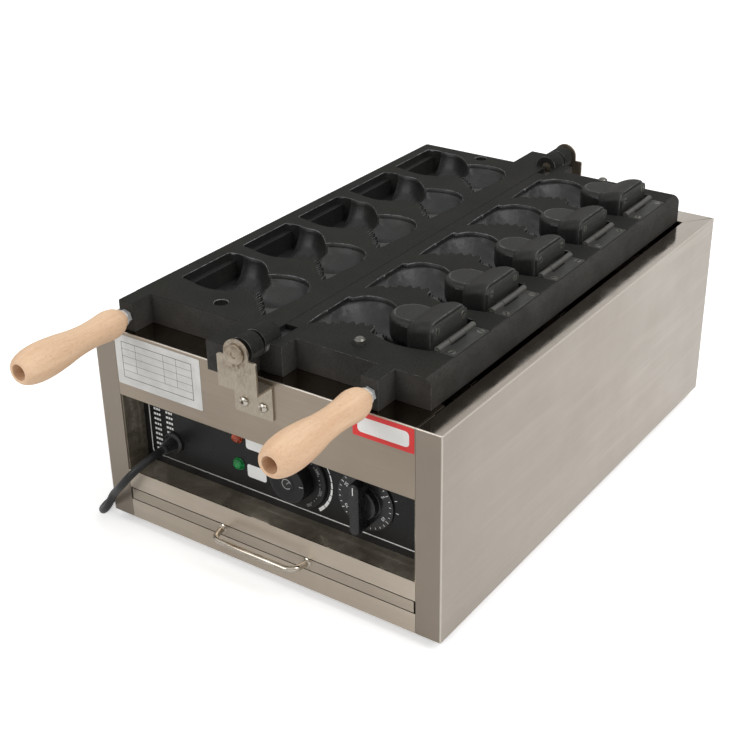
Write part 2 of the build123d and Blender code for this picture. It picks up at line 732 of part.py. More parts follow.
def handle(x):
    """A turned beech grip with a bore for its bolt and a wide bore at the outer end."""
    inner = LUG_FRONT - NUT_T
    with BuildPart() as grip:
        with BuildSketch(Plane.XY.offset(HANDLE_Z)):
            with BuildLine():
                points = [(x + radius, inner - along) for along, radius in HANDLE_PROFILE]
                Spline(*points)
                Line(points[-1], (x, inner - HANDLE_L))
                Line((x, inner - HANDLE_L), (x, inner))
                Line((x, inner), points[0])
            make_face()
        revolve(axis=Axis((x, 0, HANDLE_Z), (0, 1, 0)))
        end = inner - HANDLE_L
        rod((x, inner + 1, HANDLE_Z), (x, end, HANDLE_Z), HANDLE_BORE_R, mode=Mode.SUBTRACT)
        rod((x, end - 1, HANDLE_Z), (x, end + END_BORE_D, HANDLE_Z), END_BORE_R, mode=Mode.SUBTRACT)
    return grip.part


def handle_fasteners(x):
    """The long bolt through a grip into the lug, and the nut with its washer before the lug."""
    seat = LUG_FRONT - NUT_T - HANDLE_L + END_BORE_D
    with BuildPart() as fasteners:
        with BuildSketch(Plane(origin=(x, LUG_FRONT, HANDLE_Z), z_dir=(0, -1, 0))):
            RegularPolygon(NUT_R, 6)
        extrude(amount=NUT_T - WASHER_T)
        rod((x, LUG_FRONT - NUT_T + WASHER_T, HANDLE_Z), (x, LUG_FRONT - NUT_T, HANDLE_Z), WASHER_R)
        rod(
            (x, LUG_FRONT + 1, HANDLE_Z),
            (x, LUG_FRONT - NUT_T - 1, HANDLE_Z),
            BOLT_R + RUNNING,
            mode=Mode.SUBTRACT,
        )
        rod((x, seat, HANDLE_Z), (x, LUG_FRONT + BOLT_HOLE_D - 1, HANDLE_Z), BOLT_R)
        with BuildSketch(Plane(origin=(x, seat, HANDLE_Z), z_dir=(0, -1, 0))):
            RegularPolygon(BOLT_HEAD_R, 6)
        extrude(amount=BOLT_HEAD_T)
    return fasteners.part


for handle_side, handle_x in (("left", HANDLE_X_LEFT), ("right", HANDLE_X_RIGHT)):
    keep(handle(handle_x), f"handle_{handle_side}")
    keep(handle_fasteners(handle_x), f"handle_fasteners_{handle_side}")


# Hinged cores

def mould_core(row_y):
    """A cast core: a rounded block with a domed nose, hinged at its flat outer face."""
    middle_z = PART_Z + (CORE_TOP + CORE_BOTTOM) / 2
    with BuildPart() as core:
        with BuildSketch(Plane(origin=(CORE_OUT, row_y, middle_z), x_dir=(0, 1, 0), z_dir=(-1, 0, 0))):
            RectangleRounded(2 * CORE_HALF_W, CORE_TOP - CORE_BOTTOM, CORE_R)
        extrude(amount=CORE_OUT - CORE_MAIN)
        fillet(core.faces().sort_by(Axis.X)[0].edges(), radius=CORE_END_R)
        with BuildSketch(Plane.XZ.offset(-row_y)):
            with BuildLine():
                EllipticalCenterArc((CORE_MAIN, PART_Z), NOSE_L, NOSE_R, start_angle=90, arc_size=90)
                Line((CORE_MAIN - NOSE_L, PART_Z), (CORE_MAIN + NOSE_L, PART_Z))
                Line((CORE_MAIN + NOSE_L, PART_Z), (CORE_MAIN + NOSE_L, PART_Z + NOSE_R))
                Line((CORE_MAIN + NOSE_L, PART_Z + NOSE_R), (CORE_MAIN, PART_Z + NOSE_R))
            make_face()
        revolve(axis=Axis((0, row_y, PART_Z), (1, 0, 0)))
        for v in (-CORE_SCREW_V, CORE_SCREW_V):
            z = PART_Z + CORE_SCREW_Z
            rod(
                (CORE_OUT + 1, row_y + v, z),
                (CORE_OUT - LEAF_SCREW_L + LEAF_T - 1, row_y + v, z),
                LEAF_SCREW_R + SCREW_CLEAR,
                mode=Mode.SUBTRACT,
            )
    return core.part


def core_leaf(row_y):
    """The moving hinge leaf, screwed flat to a core's outer face, with the middle knuckle."""
    out = CORE_OUT + LEAF_T
    low = PART_Z + BARREL_Z - BARREL_R
    axis_z = PART_Z + BARREL_Z
    with BuildPart() as leaf:
        slab((CORE_OUT, row_y - LEAF_HALF_W, low), (out, row_y + LEAF_HALF_W, PART_Z + LEAF_TOP))
        top_corners = leaf.edges().filter_by(Axis.X).group_by(Axis.Z)[-1]
        fillet(top_corners, radius=CORE_END_R)
        slab((out - LEAF_T, row_y - MIDDLE_HALF_L, low), (BARREL_U, row_y + MIDDLE_HALF_L, axis_z))
        rod((BARREL_U, row_y - MIDDLE_HALF_L, axis_z), (BARREL_U, row_y + MIDDLE_HALF_L, axis_z), BARREL_R)
        rod(
            (BARREL_U, row_y - BARREL_HALF_L, axis_z),
            (BARREL_U, row_y + BARREL_HALF_L, axis_z),
            LEAF_PIN_R + RUNNING,
            mode=Mode.SUBTRACT,
        )
        for v in (-CORE_SCREW_V, CORE_SCREW_V):
            z = PART_Z + CORE_SCREW_Z
            with Locations(Plane(origin=(out, row_y + v, z), z_dir=(1, 0, 0)).location):
                CounterSinkHole(LEAF_SCREW_R + SCREW_CLEAR, LEAF_SCREW_HEAD_R + SCREW_CLEAR, depth=2 * LEAF_T)
    return leaf.part


def flat_screw(seat, inward):
    """A countersunk screw whose head lies flush with its seat."""
    taper = LEAF_SCREW_HEAD_R - LEAF_SCREW_R
    neck = tuple(a + taper * b for a, b in zip(seat, inward))
    tip = tuple(a + LEAF_SCREW_L * b for a, b in zip(seat, inward))
    cone(seat, neck, LEAF_SCREW_HEAD_R, LEAF_SCREW_R)
    rod(neck, tip, LEAF_SCREW_R)


def core_screws(row_y):
    """The two screws that hold a leaf on its core."""
    with BuildPart() as screws:
        for v in (-CORE_SCREW_V, CORE_SCREW_V):
            flat_screw((CORE_OUT + LEAF_T, row_y + v, PART_Z + CORE_SCREW_Z), (-1, 0, 0))
    return screws.part


for number, row in enumerate(CORE_Y, start=1):
    keep(mould_core(row), f"mould_core_{number}")
    keep(core_leaf(row), f"core_leaf_{number}")
    keep(core_screws(row), f"core_screws_{number}")

with BuildPart() as fixed_leaves:
    leaf_low = PART_Z - LEAF_T
    axis_z = PART_Z + BARREL_Z
    knuckle_in = MIDDLE_HALF_L + KNUCKLE_GAP
    for row in CORE_Y:
        slab(
            (BARREL_U + BARREL_R + LEAF_STAND, row - BARREL_HALF_L, leaf_low),
            (FIXED_LEAF_OUT, row + BARREL_HALF_L, PART_Z),
        )
        for v0, v1 in ((-BARREL_HALF_L, -knuckle_in), (knuckle_in, BARREL_HALF_L)):
            rod((BARREL_U, row + v0, axis_z), (BARREL_U, row + v1, axis_z), BARREL_R)
            slab((BARREL_U, row + v0, axis_z - BARREL_R), (BARREL_U + BARREL_R + LEAF_OVERLAP, row + v1, PART_Z))
        rod(
            (BARREL_U, row - BARREL_HALF_L - 1, axis_z),
            (BARREL_U, row + BARREL_HALF_L + 1, axis_z),
            LEAF_PIN_R + RUNNING,
            mode=Mode.SUBTRACT,
        )
        for v in (-FIXED_SCREW_V, FIXED_SCREW_V):
            with Locations((FIXED_SCREW_U, row + v, PART_Z)):
                CounterSinkHole(LEAF_SCREW_R + SCREW_CLEAR, LEAF_SCREW_HEAD_R + SCREW_CLEAR, depth=2 * LEAF_T)
keep(fixed_leaves.part, "fixed_leaves")

with BuildPart() as leaf_pins:
    for row in CORE_Y:
        rod((BARREL_U, row - BARREL_HALF_L, axis_z), (BARREL_U, row + BARREL_HALF_L, axis_z), LEAF_PIN_R)
keep(leaf_pins.part, "leaf_pins")

with BuildPart() as leaf_screws:
    for row in CORE_Y:
        for v in (-FIXED_SCREW_V, FIXED_SCREW_V):
            flat_screw((FIXED_SCREW_U, row + v, PART_Z), (0, 0, -1))
keep(leaf_screws.part, "leaf_screws")


# Heating

def heater(side):
    """A tubular element bent into four lanes under one plate."""
    z = BASE + HEATER_Z
    front, back = FRONT + HEATER_Y[0], FRONT + HEATER_Y[1]
    tail = FRONT + HEATER_TAIL
    lanes = [side * lane for lane in HEATER_LANES]
    turn_r = (HEATER_LANES[1] - HEATER_LANES[0]) / 2 * HEATER_TURN
    with BuildPart() as element:
        with BuildLine() as route:
            FilletPolyline(
                (lanes[0], tail, z),
                (lanes[0], back, z),
                (lanes[1], back, z),
                (lanes[1], front, z),
                (lanes[2], front, z),
                (lanes[2], back, z),
                (lanes[3], back, z),
                (lanes[3], tail, z),
                radius=turn_r,
            )
        with BuildSketch(Plane(origin=route.line @ 0, z_dir=route.line % 0)):
            Circle(HEATER_R)
        sweep(path=route.line)
    return element.part


keep(heater(-1), "heater_left")
keep(heater(1), "heater_right")

with BuildPart() as heat_tray:
    x = HALF_W - SHEET
    y0, y1 = FRONT + HEAT_TRAY_Y[0], FRONT + HEAT_TRAY_Y[1]
    floor = BASE + HEAT_TRAY_Z
    saddle_top = BASE + HEATER_Z - HEATER_R - SADDLE_GAP
    slab((-x, y0, floor), (x, y1, floor + SHEET))
    slab((-x, y0, floor), (-x + SHEET, y1, floor + HEAT_TRAY_WALL))
    slab((x - SHEET, y0, floor), (x, y1, floor + HEAT_TRAY_WALL))
    slab((-x, y0, floor), (x, y0 + SHEET, floor + HEAT_TRAY_WALL))
    slab((-x, y1 - SHEET, floor), (x, y1, floor + HEAT_TRAY_WALL))
    lane_half = HEATER_LANES[-1] + SADDLE_REACH
    for y in SADDLE_Y:
        slab((-lane_half, FRONT + y, floor), (lane_half, FRONT + y + SHEET, saddle_top))
        slab((-lane_half, FRONT + y, saddle_top - SHEET), (lane_half, FRONT + y + SADDLE_W, saddle_top))
keep(heat_tray.part, "heat_tray")


# Drip tray with its bow handle

TRAY_Z0 = BASE + TRAY_LOW
TRAY_Z1 = BASE + TRAY_HIGH
BOW_Z = (TRAY_Z0 + TRAY_Z1) / 2 + BOW_RISE
PAN_Z = TRAY_Z0 + TRAY_LIFT

with BuildPart() as drip_tray:
    slab((-TRAY_FRONT_W / 2, FRONT, TRAY_Z0), (TRAY_FRONT_W / 2, FRONT + TRAY_FRONT_T, TRAY_Z1))
    slab((-TRAY_W / 2, FRONT, PAN_Z), (TRAY_W / 2, FRONT + TRAY_D, TRAY_Z1))
    slab(
        (-TRAY_W / 2 + TRAY_SHEET, FRONT + TRAY_FRONT_T, PAN_Z + TRAY_SHEET),
        (TRAY_W / 2 - TRAY_SHEET, FRONT + TRAY_D - TRAY_SHEET, TRAY_Z1 + 1),
        mode=Mode.SUBTRACT,
    )
keep(drip_tray.part, "drip_tray")

with BuildPart() as tray_handle:
    with BuildLine() as bow:
        FilletPolyline(
            (-BOW_HALF, FRONT - BOW_SEAT_T, BOW_Z),
            (-BOW_HALF + BOW_SLANT, FRONT - BOW_OUT, BOW_Z),
            (BOW_HALF - BOW_SLANT, FRONT - BOW_OUT, BOW_Z),
            (BOW_HALF, FRONT - BOW_SEAT_T, BOW_Z),
            radius=BOW_BEND,
        )
    with BuildSketch(Plane(origin=bow.line @ 0, z_dir=bow.line % 0)):
        Circle(BOW_R)
    sweep(path=bow.line)
    for x in (-BOW_HALF, BOW_HALF):
        rod((x, FRONT - BOW_SEAT_T, BOW_Z), (x, FRONT, BOW_Z), BOW_SEAT_R)
keep(tray_handle.part, "tray_handle")

with BuildPart() as tray_runners:
    for side in (-1, 1):
        wall = side * (HALF_W - SHEET)
        inner = side * (TRAY_W / 2 - RUNNER_W)
        shelf_z = PAN_Z - RUNNER_GAP
        slab(
            (min(wall, inner), FRONT + RECESS_D + PANEL_GAP, shelf_z - SHEET),
            (max(wall, inner), FRONT + TRAY_D, shelf_z),
        )
        guide = side * (TRAY_W / 2 + RUNNER_GAP)
        edge = guide + side * SHEET
        slab(
            (min(guide, edge), FRONT + RECESS_D + PANEL_GAP, shelf_z),
            (max(guide, edge), FRONT + TRAY_D, TRAY_Z1),
        )
keep(tray_runners.part, "tray_runners")


# Controls

def spindle(x):
    """A control's turning spindle."""
    z = BASE + DIAL_Z
    with BuildPart() as shaft:
        rod((x, PANEL_Y + PANEL_T + SPINDLE_IN, z), (x, PANEL_Y - SPINDLE_OUT, z), SPINDLE_R)
    return shaft.part


def control_body(x):
    """A switch body behind the panel."""
    z = BASE + DIAL_Z
    width, depth, height = SWITCH_BODY
    back = PANEL_Y + PANEL_T
    with BuildPart() as body:
        slab((x - width / 2, back, z - height / 2), (x + width / 2, back + depth, z + height / 2))
        rod((x, back - 1, z), (x, back + SPINDLE_IN, z), SPINDLE_R + RUNNING, mode=Mode.SUBTRACT)
    return body.part


keep(control_body(THERMOSTAT_X), "thermostat_body")
keep(control_body(TIMER_X), "timer_body")

KNOB_Y = PANEL_Y - KNOB_STAND
with BuildPart() as temperature_knob:
    z = BASE + DIAL_Z
    rod((THERMOSTAT_X, KNOB_Y, z), (THERMOSTAT_X, KNOB_Y - DIAL_T, z), DIAL_R)
    rod((THERMOSTAT_X, KNOB_Y - DIAL_T, z), (THERMOSTAT_X, KNOB_Y - DIAL_T - GRIP_T, z), GRIP_R)
    fillet(temperature_knob.faces().sort_by(Axis.Y)[0].edges(), radius=KNOB_EDGE_R)
    rod(
        (THERMOSTAT_X, KNOB_Y + 1, z),
        (THERMOSTAT_X, PANEL_Y - SPINDLE_OUT - 1, z),
        SPINDLE_R + RUNNING,
        mode=Mode.SUBTRACT,
    )
keep(temperature_knob.part, "temperature_knob")

with BuildPart() as timer_knob:
    z = BASE + DIAL_Z
    rod((TIMER_X, KNOB_Y, z), (TIMER_X, KNOB_Y - TIMER_DIAL_T, z), TIMER_DIAL_R)
    rod((TIMER_X, KNOB_Y, z), (TIMER_X, KNOB_Y - TIMER_HUB_T, z), TIMER_HUB_R)
    with BuildSketch(Plane(origin=(TIMER_X, KNOB_Y, z), x_dir=(1, 0, 0), z_dir=(0, -1, 0))):
        SlotOverall(2 * TIMER_BAR_L, TIMER_BAR_W, rotation=90)
    extrude(amount=TIMER_BAR_T)
    rod((TIMER_X, KNOB_Y + 1, z), (TIMER_X, PANEL_Y - SPINDLE_OUT - 1, z), SPINDLE_R + RUNNING, mode=Mode.SUBTRACT)
keep(timer_knob.part, "timer_knob")
keep(spindle(THERMOSTAT_X), "thermostat_spindle")
keep(spindle(TIMER_X), "timer_spindle")

with BuildPart() as signal_lamps:
    for height in (LAMP_GREEN_Z, LAMP_ORANGE_Z):
        z = BASE + height
        rod((LAMP_X, PANEL_Y, z), (LAMP_X, PANEL_Y - LAMP_FLANGE_T, z), LAMP_R)
        cone(
            (LAMP_X, PANEL_Y - LAMP_FLANGE_T, z),
            (LAMP_X, PANEL_Y - LAMP_DOME, z),
            LAMP_LENS_R,
            LAMP_TIP_R,
        )
        rod((LAMP_X, PANEL_Y, z), (LAMP_X, PANEL_Y + LAMP_NECK_L, z), LAMP_NECK_R)
keep(signal_lamps.part, "signal_lamps")

GLAND_EXIT = (GLAND_X, PANEL_Y - GLAND_LENGTH, BASE + GLAND_Z)
with BuildPart() as cord_gland:
    z = BASE + GLAND_Z
    rod((GLAND_X, PANEL_Y, z), (GLAND_X, PANEL_Y - GLAND_FLANGE_T, z), GLAND_R)
    cone((GLAND_X, PANEL_Y - GLAND_FLANGE_T, z), GLAND_EXIT, GLAND_NECK_R, GLAND_MOUTH_R)
    rod((GLAND_X, PANEL_Y, z), (GLAND_X, PANEL_Y + GLAND_TAIL, z), GLAND_NECK_R)
keep(cord_gland.part, "cord_gland")

SHELF_Z = TRAY_Z1 + SHELF_ROOM
BLOCK_TOP = SHELF_Z + SHEET + BLOCK_SIZE[2]
BLOCK_FRONT = FRONT + BLOCK_Y
with BuildPart() as terminal_block:
    width, depth, height = BLOCK_SIZE
    wall = -HALF_W + SHEET
    slab((wall, BLOCK_FRONT, SHELF_Z), (BLOCK_X + width / 2, BLOCK_FRONT + depth, SHELF_Z + SHEET))
    slab((wall, BLOCK_FRONT, SHELF_Z), (wall + SHEET, BLOCK_FRONT + depth, BLOCK_TOP))
    slab(
        (BLOCK_X - width / 2, BLOCK_FRONT, SHELF_Z + SHEET),
        (BLOCK_X + width / 2, BLOCK_FRONT + depth, BLOCK_TOP),
    )
keep(terminal_block.part, "terminal_block")


# Wires inside the cabinet

def wire(points, radius, bend):
    """A wire that runs straight between its corners and turns with one bend radius."""
    with BuildPart() as run:
        with BuildLine() as route:
            FilletPolyline(*points, radius=bend)
        with BuildSketch(Plane(origin=route.line @ 0, z_dir=route.line % 0)):
            Circle(radius)
        sweep(path=route.line)
    return run.part


SWITCH_TOP = BASE + DIAL_Z + SWITCH_BODY[2] / 2
SWITCH_BACK = PANEL_Y + PANEL_T + SWITCH_BODY[1]
WIRE_Y = BLOCK_FRONT + BLOCK_SIZE[1] / 2
RISER_Y = FRONT + WIRE_RISER
TAIL_Y = FRONT + HEATER_TAIL
TAIL_Z = BASE + HEATER_Z
GLAND_BACK = PANEL_Y + GLAND_TAIL
LAMP_BACK = PANEL_Y + LAMP_NECK_L
LANE_IN = HEATER_LANES[0]
LANE_OUT = HEATER_LANES[-1]
CROSS_Z = SWITCH_TOP + WIRE_ROOM


def at_height(z):
    """A height above the cabinet's underside."""
    return BASE + z


def supply_wire(block_x, run_z, end_x, end_y):
    """A wire from the top of the terminal block, along the wiring line, to a control's back."""
    return (
        (block_x, WIRE_Y, BLOCK_TOP),
        (block_x, WIRE_Y, run_z),
        (end_x, WIRE_Y, run_z),
        (end_x, end_y, run_z),
    )


WIRES = (
    supply_wire(BLOCK_X + TERMINALS[0], at_height(DIAL_Z), THERMOSTAT_X, SWITCH_BACK),
    supply_wire(BLOCK_X + TERMINALS[1], at_height(DIAL_Z + WIRE_LIFT), TIMER_X, SWITCH_BACK),
    supply_wire(BLOCK_X + TERMINALS[2], at_height(LAMP_ORANGE_Z), LAMP_X, LAMP_BACK),
    (
        (LANE_IN, TAIL_Y, TAIL_Z),
        (LANE_IN, RISER_Y, TAIL_Z),
        (LANE_IN, RISER_Y, SWITCH_TOP),
    ),
    (
        (-LANE_IN, TAIL_Y, TAIL_Z),
        (-LANE_IN, RISER_Y, TAIL_Z),
        (-LANE_IN, RISER_Y, CROSS_Z),
        (THERMOSTAT_X + THERMOSTAT_TAB, RISER_Y, CROSS_Z),
        (THERMOSTAT_X + THERMOSTAT_TAB, RISER_Y, SWITCH_TOP),
    ),
    (
        (LANE_OUT, TAIL_Y, TAIL_Z),
        (LANE_OUT, RISER_Y, TAIL_Z),
        (LANE_OUT, RISER_Y, CROSS_Z),
        (TIMER_X + TIMER_TAB, RISER_Y, CROSS_Z),
        (TIMER_X + TIMER_TAB, RISER_Y, SWITCH_TOP),
    ),
    (
        (-LANE_OUT, TAIL_Y, TAIL_Z),
        (-LANE_OUT, RISER_Y, TAIL_Z),
        (-LANE_OUT, RISER_Y, CROSS_Z),
        (BLOCK_X + TERMINALS[3], RISER_Y, CROSS_Z),
        (BLOCK_X + TERMINALS[3], WIRE_Y, CROSS_Z),
        (BLOCK_X + TERMINALS[3], WIRE_Y, BLOCK_TOP),
    ),
)
with BuildPart() as internal_wiring:
    for points in WIRES:
        add(wire(points, WIRE_R, WIRE_BEND))
    inlet = (
        (GLAND_X, GLAND_BACK, at_height(GLAND_Z)),
        (GLAND_X, WIRE_Y, at_height(GLAND_Z)),
        (GLAND_X, WIRE_Y, BLOCK_TOP),
    )
    add(wire(inlet, CORD_R, INLET_BEND))
keep(internal_wiring.part, "internal_wiring")

with BuildPart() as front_labels:
    for x0, x1, z0, z1 in (RATING_PLATE, BADGE):
        slab((x0, FRONT - LABEL_T, at_height(z0)), (x1, FRONT, at_height(z1)))
keep(front_labels.part, "front_labels")


# Mains lead: a free stretch, a coil of two layers, a short tail and the plug

def cord_path(points):
    """A smooth route through chosen points; every bend is as wide as its two runs allow."""
    runs = [Vector(*b) - Vector(*a) for a, b in zip(points, points[1:])]
    radii = []
    for before, after in zip(runs, runs[1:]):
        half_turn = math.radians(before.get_angle(after)) / 2
        radii.append(RUN_SHARE * min(before.length, after.length) / math.tan(half_turn))
    print("cord bend radii:", [round(radius, 1) for radius in radii])
    return radii


COIL_PITCH = 2 * CORD_R + CORD_GAP
COIL_ANGLE = 2 * math.pi * COIL_TURNS
COIL_MIDDLE = FRONT + COIL_Y
COIL_IN = COIL_OUT - COIL_PITCH * COIL_TURNS


def coil_point(angle):
    """A place on the coil: it spirals in on the floor, climbs for half a turn, and spirals out."""
    radius = COIL_IN + COIL_PITCH * abs(COIL_ANGLE - angle) / (2 * math.pi)
    climb = min(max((angle - COIL_ANGLE + math.pi / 2) / math.pi, 0.0), 1.0)
    rise = COIL_PITCH * (climb * climb * (3 - 2 * climb))
    return Vector(COIL_X + radius * math.cos(angle), COIL_MIDDLE + radius * math.sin(angle), CORD_Z + rise)


def coil_heading(angle):
    """The direction of the lead at a place on the coil."""
    step = 0.001
    inward = min(angle + step, 2 * COIL_ANGLE)
    back = max(angle - step, 0.0)
    return (coil_point(inward) - coil_point(back)).normalized()


def biarc(start, heading, end, end_heading):
    """Two arcs that meet smoothly and join two places with given headings."""
    chord = end - start
    both = heading + end_heading
    bend = 2 * (1 - heading.dot(end_heading))
    reach = (math.sqrt(chord.dot(both) ** 2 + bend * chord.dot(chord)) - chord.dot(both)) / bend
    first = start + heading * reach
    second = end - end_heading * reach
    middle = (first + second) * 0.5
    TangentArc(start, middle, tangent=heading)
    TangentArc(middle, end, tangent=(second - first).normalized())


def coil_gap(steps=40):
    """The least gap between turns, from points along the coil."""
    count = int(2 * COIL_TURNS * steps)
    points = [coil_point(2 * COIL_ANGLE * k / count) for k in range(count + 1)]
    far = steps // 2
    least = min((a - b).length for i, a in enumerate(points) for b in points[i + far:])
    return least - 2 * CORD_R


COIL_START = coil_point(0.0)
COIL_END = coil_point(2 * COIL_ANGLE)
COIL_INLET = COIL_START - coil_heading(0.0) * 2 * CORD_R
COIL_OUTLET = COIL_END + coil_heading(2 * COIL_ANGLE) * 2 * CORD_R
TAIL_END = COIL_OUTLET + coil_heading(2 * COIL_ANGLE) * TAIL_L

with BuildPart() as cord_coil:
    with BuildLine() as turns:
        Line(COIL_INLET, COIL_START)
        quarters = 8 * COIL_TURNS
        for quarter in range(quarters):
            here = math.pi / 2 * quarter
            there = math.pi / 2 * (quarter + 1)
            biarc(coil_point(here), coil_heading(here), coil_point(there), coil_heading(there))
        Line(COIL_END, COIL_OUTLET)
    with BuildSketch(Plane(origin=COIL_INLET, z_dir=coil_heading(0.0))):
        Circle(CORD_R)
    sweep(path=turns.wire())
print("coil gap:", round(coil_gap(), 2), "coil length:", round(turns.wire().length, 1))
keep(cord_coil.part, "cord_coil")

LEAD_POINTS = [
    GLAND_EXIT,
    *[(x, FRONT + y, BASE + z) for x, y, z in CORD_ROUTE],
    tuple(COIL_INLET - coil_heading(0.0) * LAST_RUN),
    tuple(COIL_INLET),
]
with BuildPart() as mains_cord:
    with BuildLine() as lead:
        FilletPolyline(*LEAD_POINTS, radius=cord_path(LEAD_POINTS))
    with BuildSketch(Plane(origin=GLAND_EXIT, z_dir=lead.line % 0)):
        Circle(CORD_R)
    sweep(path=lead.line)
    print("lead length:", round(lead.wire().length, 1), "volume share:", round(
        mains_cord.part.volume / (math.pi * CORD_R ** 2 * lead.wire().length), 4))
    rod(tuple(COIL_OUTLET), tuple(TAIL_END), CORD_R)
keep(mains_cord.part, "mains_cord")

with BuildPart() as plug:
    heading = coil_heading(2 * COIL_ANGLE)
    collar = TAIL_END + heading * PLUG_COLLAR_L
    nose = collar + heading * PLUG_L
    with BuildSketch(Plane(origin=(collar.X, collar.Y, PLUG_H / 2), x_dir=(0, 0, 1), z_dir=heading)):
        RectangleRounded(PLUG_H, PLUG_W, PLUG_R)
    extrude(amount=PLUG_L)
    cone(tuple(TAIL_END), tuple(collar), CORD_R + CORD_GAP, PLUG_COLLAR_R)
    with Locations(Plane(origin=(nose.X, nose.Y, PLUG_H / 2), x_dir=(0, 0, 1), z_dir=heading).location):
        with GridLocations(1, PLUG_PIN_SPACING, 1, 2):
            Cylinder(PLUG_PIN_R, PLUG_PIN_L, align=(Align.CENTER, Align.CENTER, Align.MIN))
keep(plug.part, "plug")

with BuildPart() as cord_tie:
    near = COIL_IN + COIL_PITCH / 2 - CORD_R - 2 * TIE_ROOM
    far = COIL_OUT - COIL_PITCH / 2 + CORD_R + TIE_ROOM
    top = CORD_Z + COIL_PITCH + CORD_R + TIE_ROOM
    slab(
        (COIL_X - far - TIE_T, COIL_MIDDLE - TIE_W / 2, 0),
        (COIL_X - near + TIE_T, COIL_MIDDLE + TIE_W / 2, top + TIE_T),
    )
    slab(
        (COIL_X - far, COIL_MIDDLE - TIE_W / 2, TIE_T),
        (COIL_X - near, COIL_MIDDLE + TIE_W / 2, top),
        mode=Mode.SUBTRACT,
    )
keep(cord_tie.part, "cord_tie")
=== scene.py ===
import math

import bmesh
import bpy
from mathutils import Matrix, Vector
from mathutils.geometry import delaunay_2d_cdt


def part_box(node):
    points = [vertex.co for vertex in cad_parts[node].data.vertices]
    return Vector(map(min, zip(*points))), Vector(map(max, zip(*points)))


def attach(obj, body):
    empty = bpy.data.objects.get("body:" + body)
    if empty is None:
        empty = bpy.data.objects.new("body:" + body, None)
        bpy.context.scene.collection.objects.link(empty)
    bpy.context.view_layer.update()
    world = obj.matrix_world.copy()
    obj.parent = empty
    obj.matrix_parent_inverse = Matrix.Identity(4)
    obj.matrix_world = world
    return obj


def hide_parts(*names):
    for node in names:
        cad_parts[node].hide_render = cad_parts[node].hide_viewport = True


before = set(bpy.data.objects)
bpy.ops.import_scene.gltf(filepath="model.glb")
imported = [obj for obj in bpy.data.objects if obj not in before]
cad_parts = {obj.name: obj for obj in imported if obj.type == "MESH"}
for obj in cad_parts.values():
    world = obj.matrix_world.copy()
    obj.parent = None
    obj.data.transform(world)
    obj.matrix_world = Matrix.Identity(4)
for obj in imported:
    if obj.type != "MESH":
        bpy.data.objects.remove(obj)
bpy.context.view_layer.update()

# Egg bread maker. Lengths are in millimetres; MM turns them into metres.
MM = 0.001
SCENE = bpy.context.scene
OUTWARD = (0, -1, 0)
UPWARD = (0, 0, 1)
INWARD = (0, 1, 0)


# Places taken from the frame

def corners(node):
    """A node's lowest and highest corner, in millimetres."""
    return [[c / MM for c in corner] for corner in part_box(node)]


(LEFT_X, FRONT, BASE), (_, BACK, TOP) = corners("side_panel_left")
HALF_W = -LEFT_X
PANEL_Y = corners("control_panel")[0][1]
PANEL_X = corners("bottom_rail")[1][0] + 0.3
PART_Z = corners("leaf_screws")[1][2]
AXIS_Z = PART_Z + 0.25
(_, _, PLATE_LOW), (PLATE_OUT, _, _) = corners("mould_plate_right")
CORE_SHIFT = -4.0
CORE_Y = [sum(corner[1] for corner in corners(f"core_leaf_{k}")) / 2 for k in range(1, 6)]
ROW_Y = [y - CORE_SHIFT for y in CORE_Y]
PLATE_FRONT = FRONT + 30.0
PLATE_BACK = BACK - 30.0
HANDLE_X = {"left": -153.5, "right": 120.5}
HANDLE_Z = (PLATE_LOW + PART_Z) / 2
LUG_FRONT = PLATE_FRONT - 25.0


# Objects and meshes

def linked(name, data):
    """A new object in the scene."""
    made = bpy.data.objects.new(name, data)
    SCENE.collection.objects.link(made)
    return made


def mesh_piece(name, verts, faces, sharp=35.0):
    """A piece from points in millimetres, smooth but for its sharp edges."""
    mesh = bpy.data.meshes.new(name)
    mesh.from_pydata([tuple(c * MM for c in v) for v in verts], [], faces)
    mesh.validate()
    bm = bmesh.new()
    bm.from_mesh(mesh)
    bmesh.ops.remove_doubles(bm, verts=bm.verts, dist=1e-6)
    bmesh.ops.recalc_face_normals(bm, faces=bm.faces)
    bm.to_mesh(mesh)
    bm.free()
    shade(mesh, sharp)
    return linked(name, mesh)


def shade(mesh, sharp):
    """Smooth shading with sharp edges above an angle."""
    for polygon in mesh.polygons:
        polygon.use_smooth = True
    mesh.set_sharp_from_angle(angle=math.radians(sharp))


def joined(name, shells, sharp=35.0):
    """One piece from several shells, each a list of points and a list of faces."""
    verts, faces = [], []
    for shell_verts, shell_faces in shells:
        first = len(verts)
        verts += shell_verts
        faces += [tuple(first + i for i in face) for face in shell_faces]
    return mesh_piece(name, verts, faces, sharp)


def merged(name, pieces, sharp=35.0):
    """Several finished meshes as one piece."""
    shells = []
    for piece in pieces:
        verts = [tuple(c / MM for c in v.co) for v in piece.data.vertices]
        shells.append((verts, [tuple(p.vertices) for p in piece.data.polygons]))
        bpy.data.objects.remove(piece)
    return joined(name, shells, sharp)


def evaluated_mesh(holder):
    """The mesh that an object's curve or modifiers make."""
    bpy.context.view_layer.update()
    return bpy.data.meshes.new_from_object(holder.evaluated_get(bpy.context.evaluated_depsgraph_get()))


def cut(piece, shells, operation="DIFFERENCE"):
    """Cuts shells, or a finished tool, out of a piece, or joins them on."""
    tool = joined("tool", shells) if isinstance(shells, list) else shells
    modifier = piece.modifiers.new("cut", "BOOLEAN")
    modifier.operation = operation
    modifier.solver = "MANIFOLD"
    modifier.object = tool
    old, mesh = piece.data, evaluated_mesh(piece)
    piece.modifiers.clear()
    piece.data = mesh
    mesh.name = piece.name
    bpy.data.meshes.remove(old)
    bpy.data.objects.remove(tool)


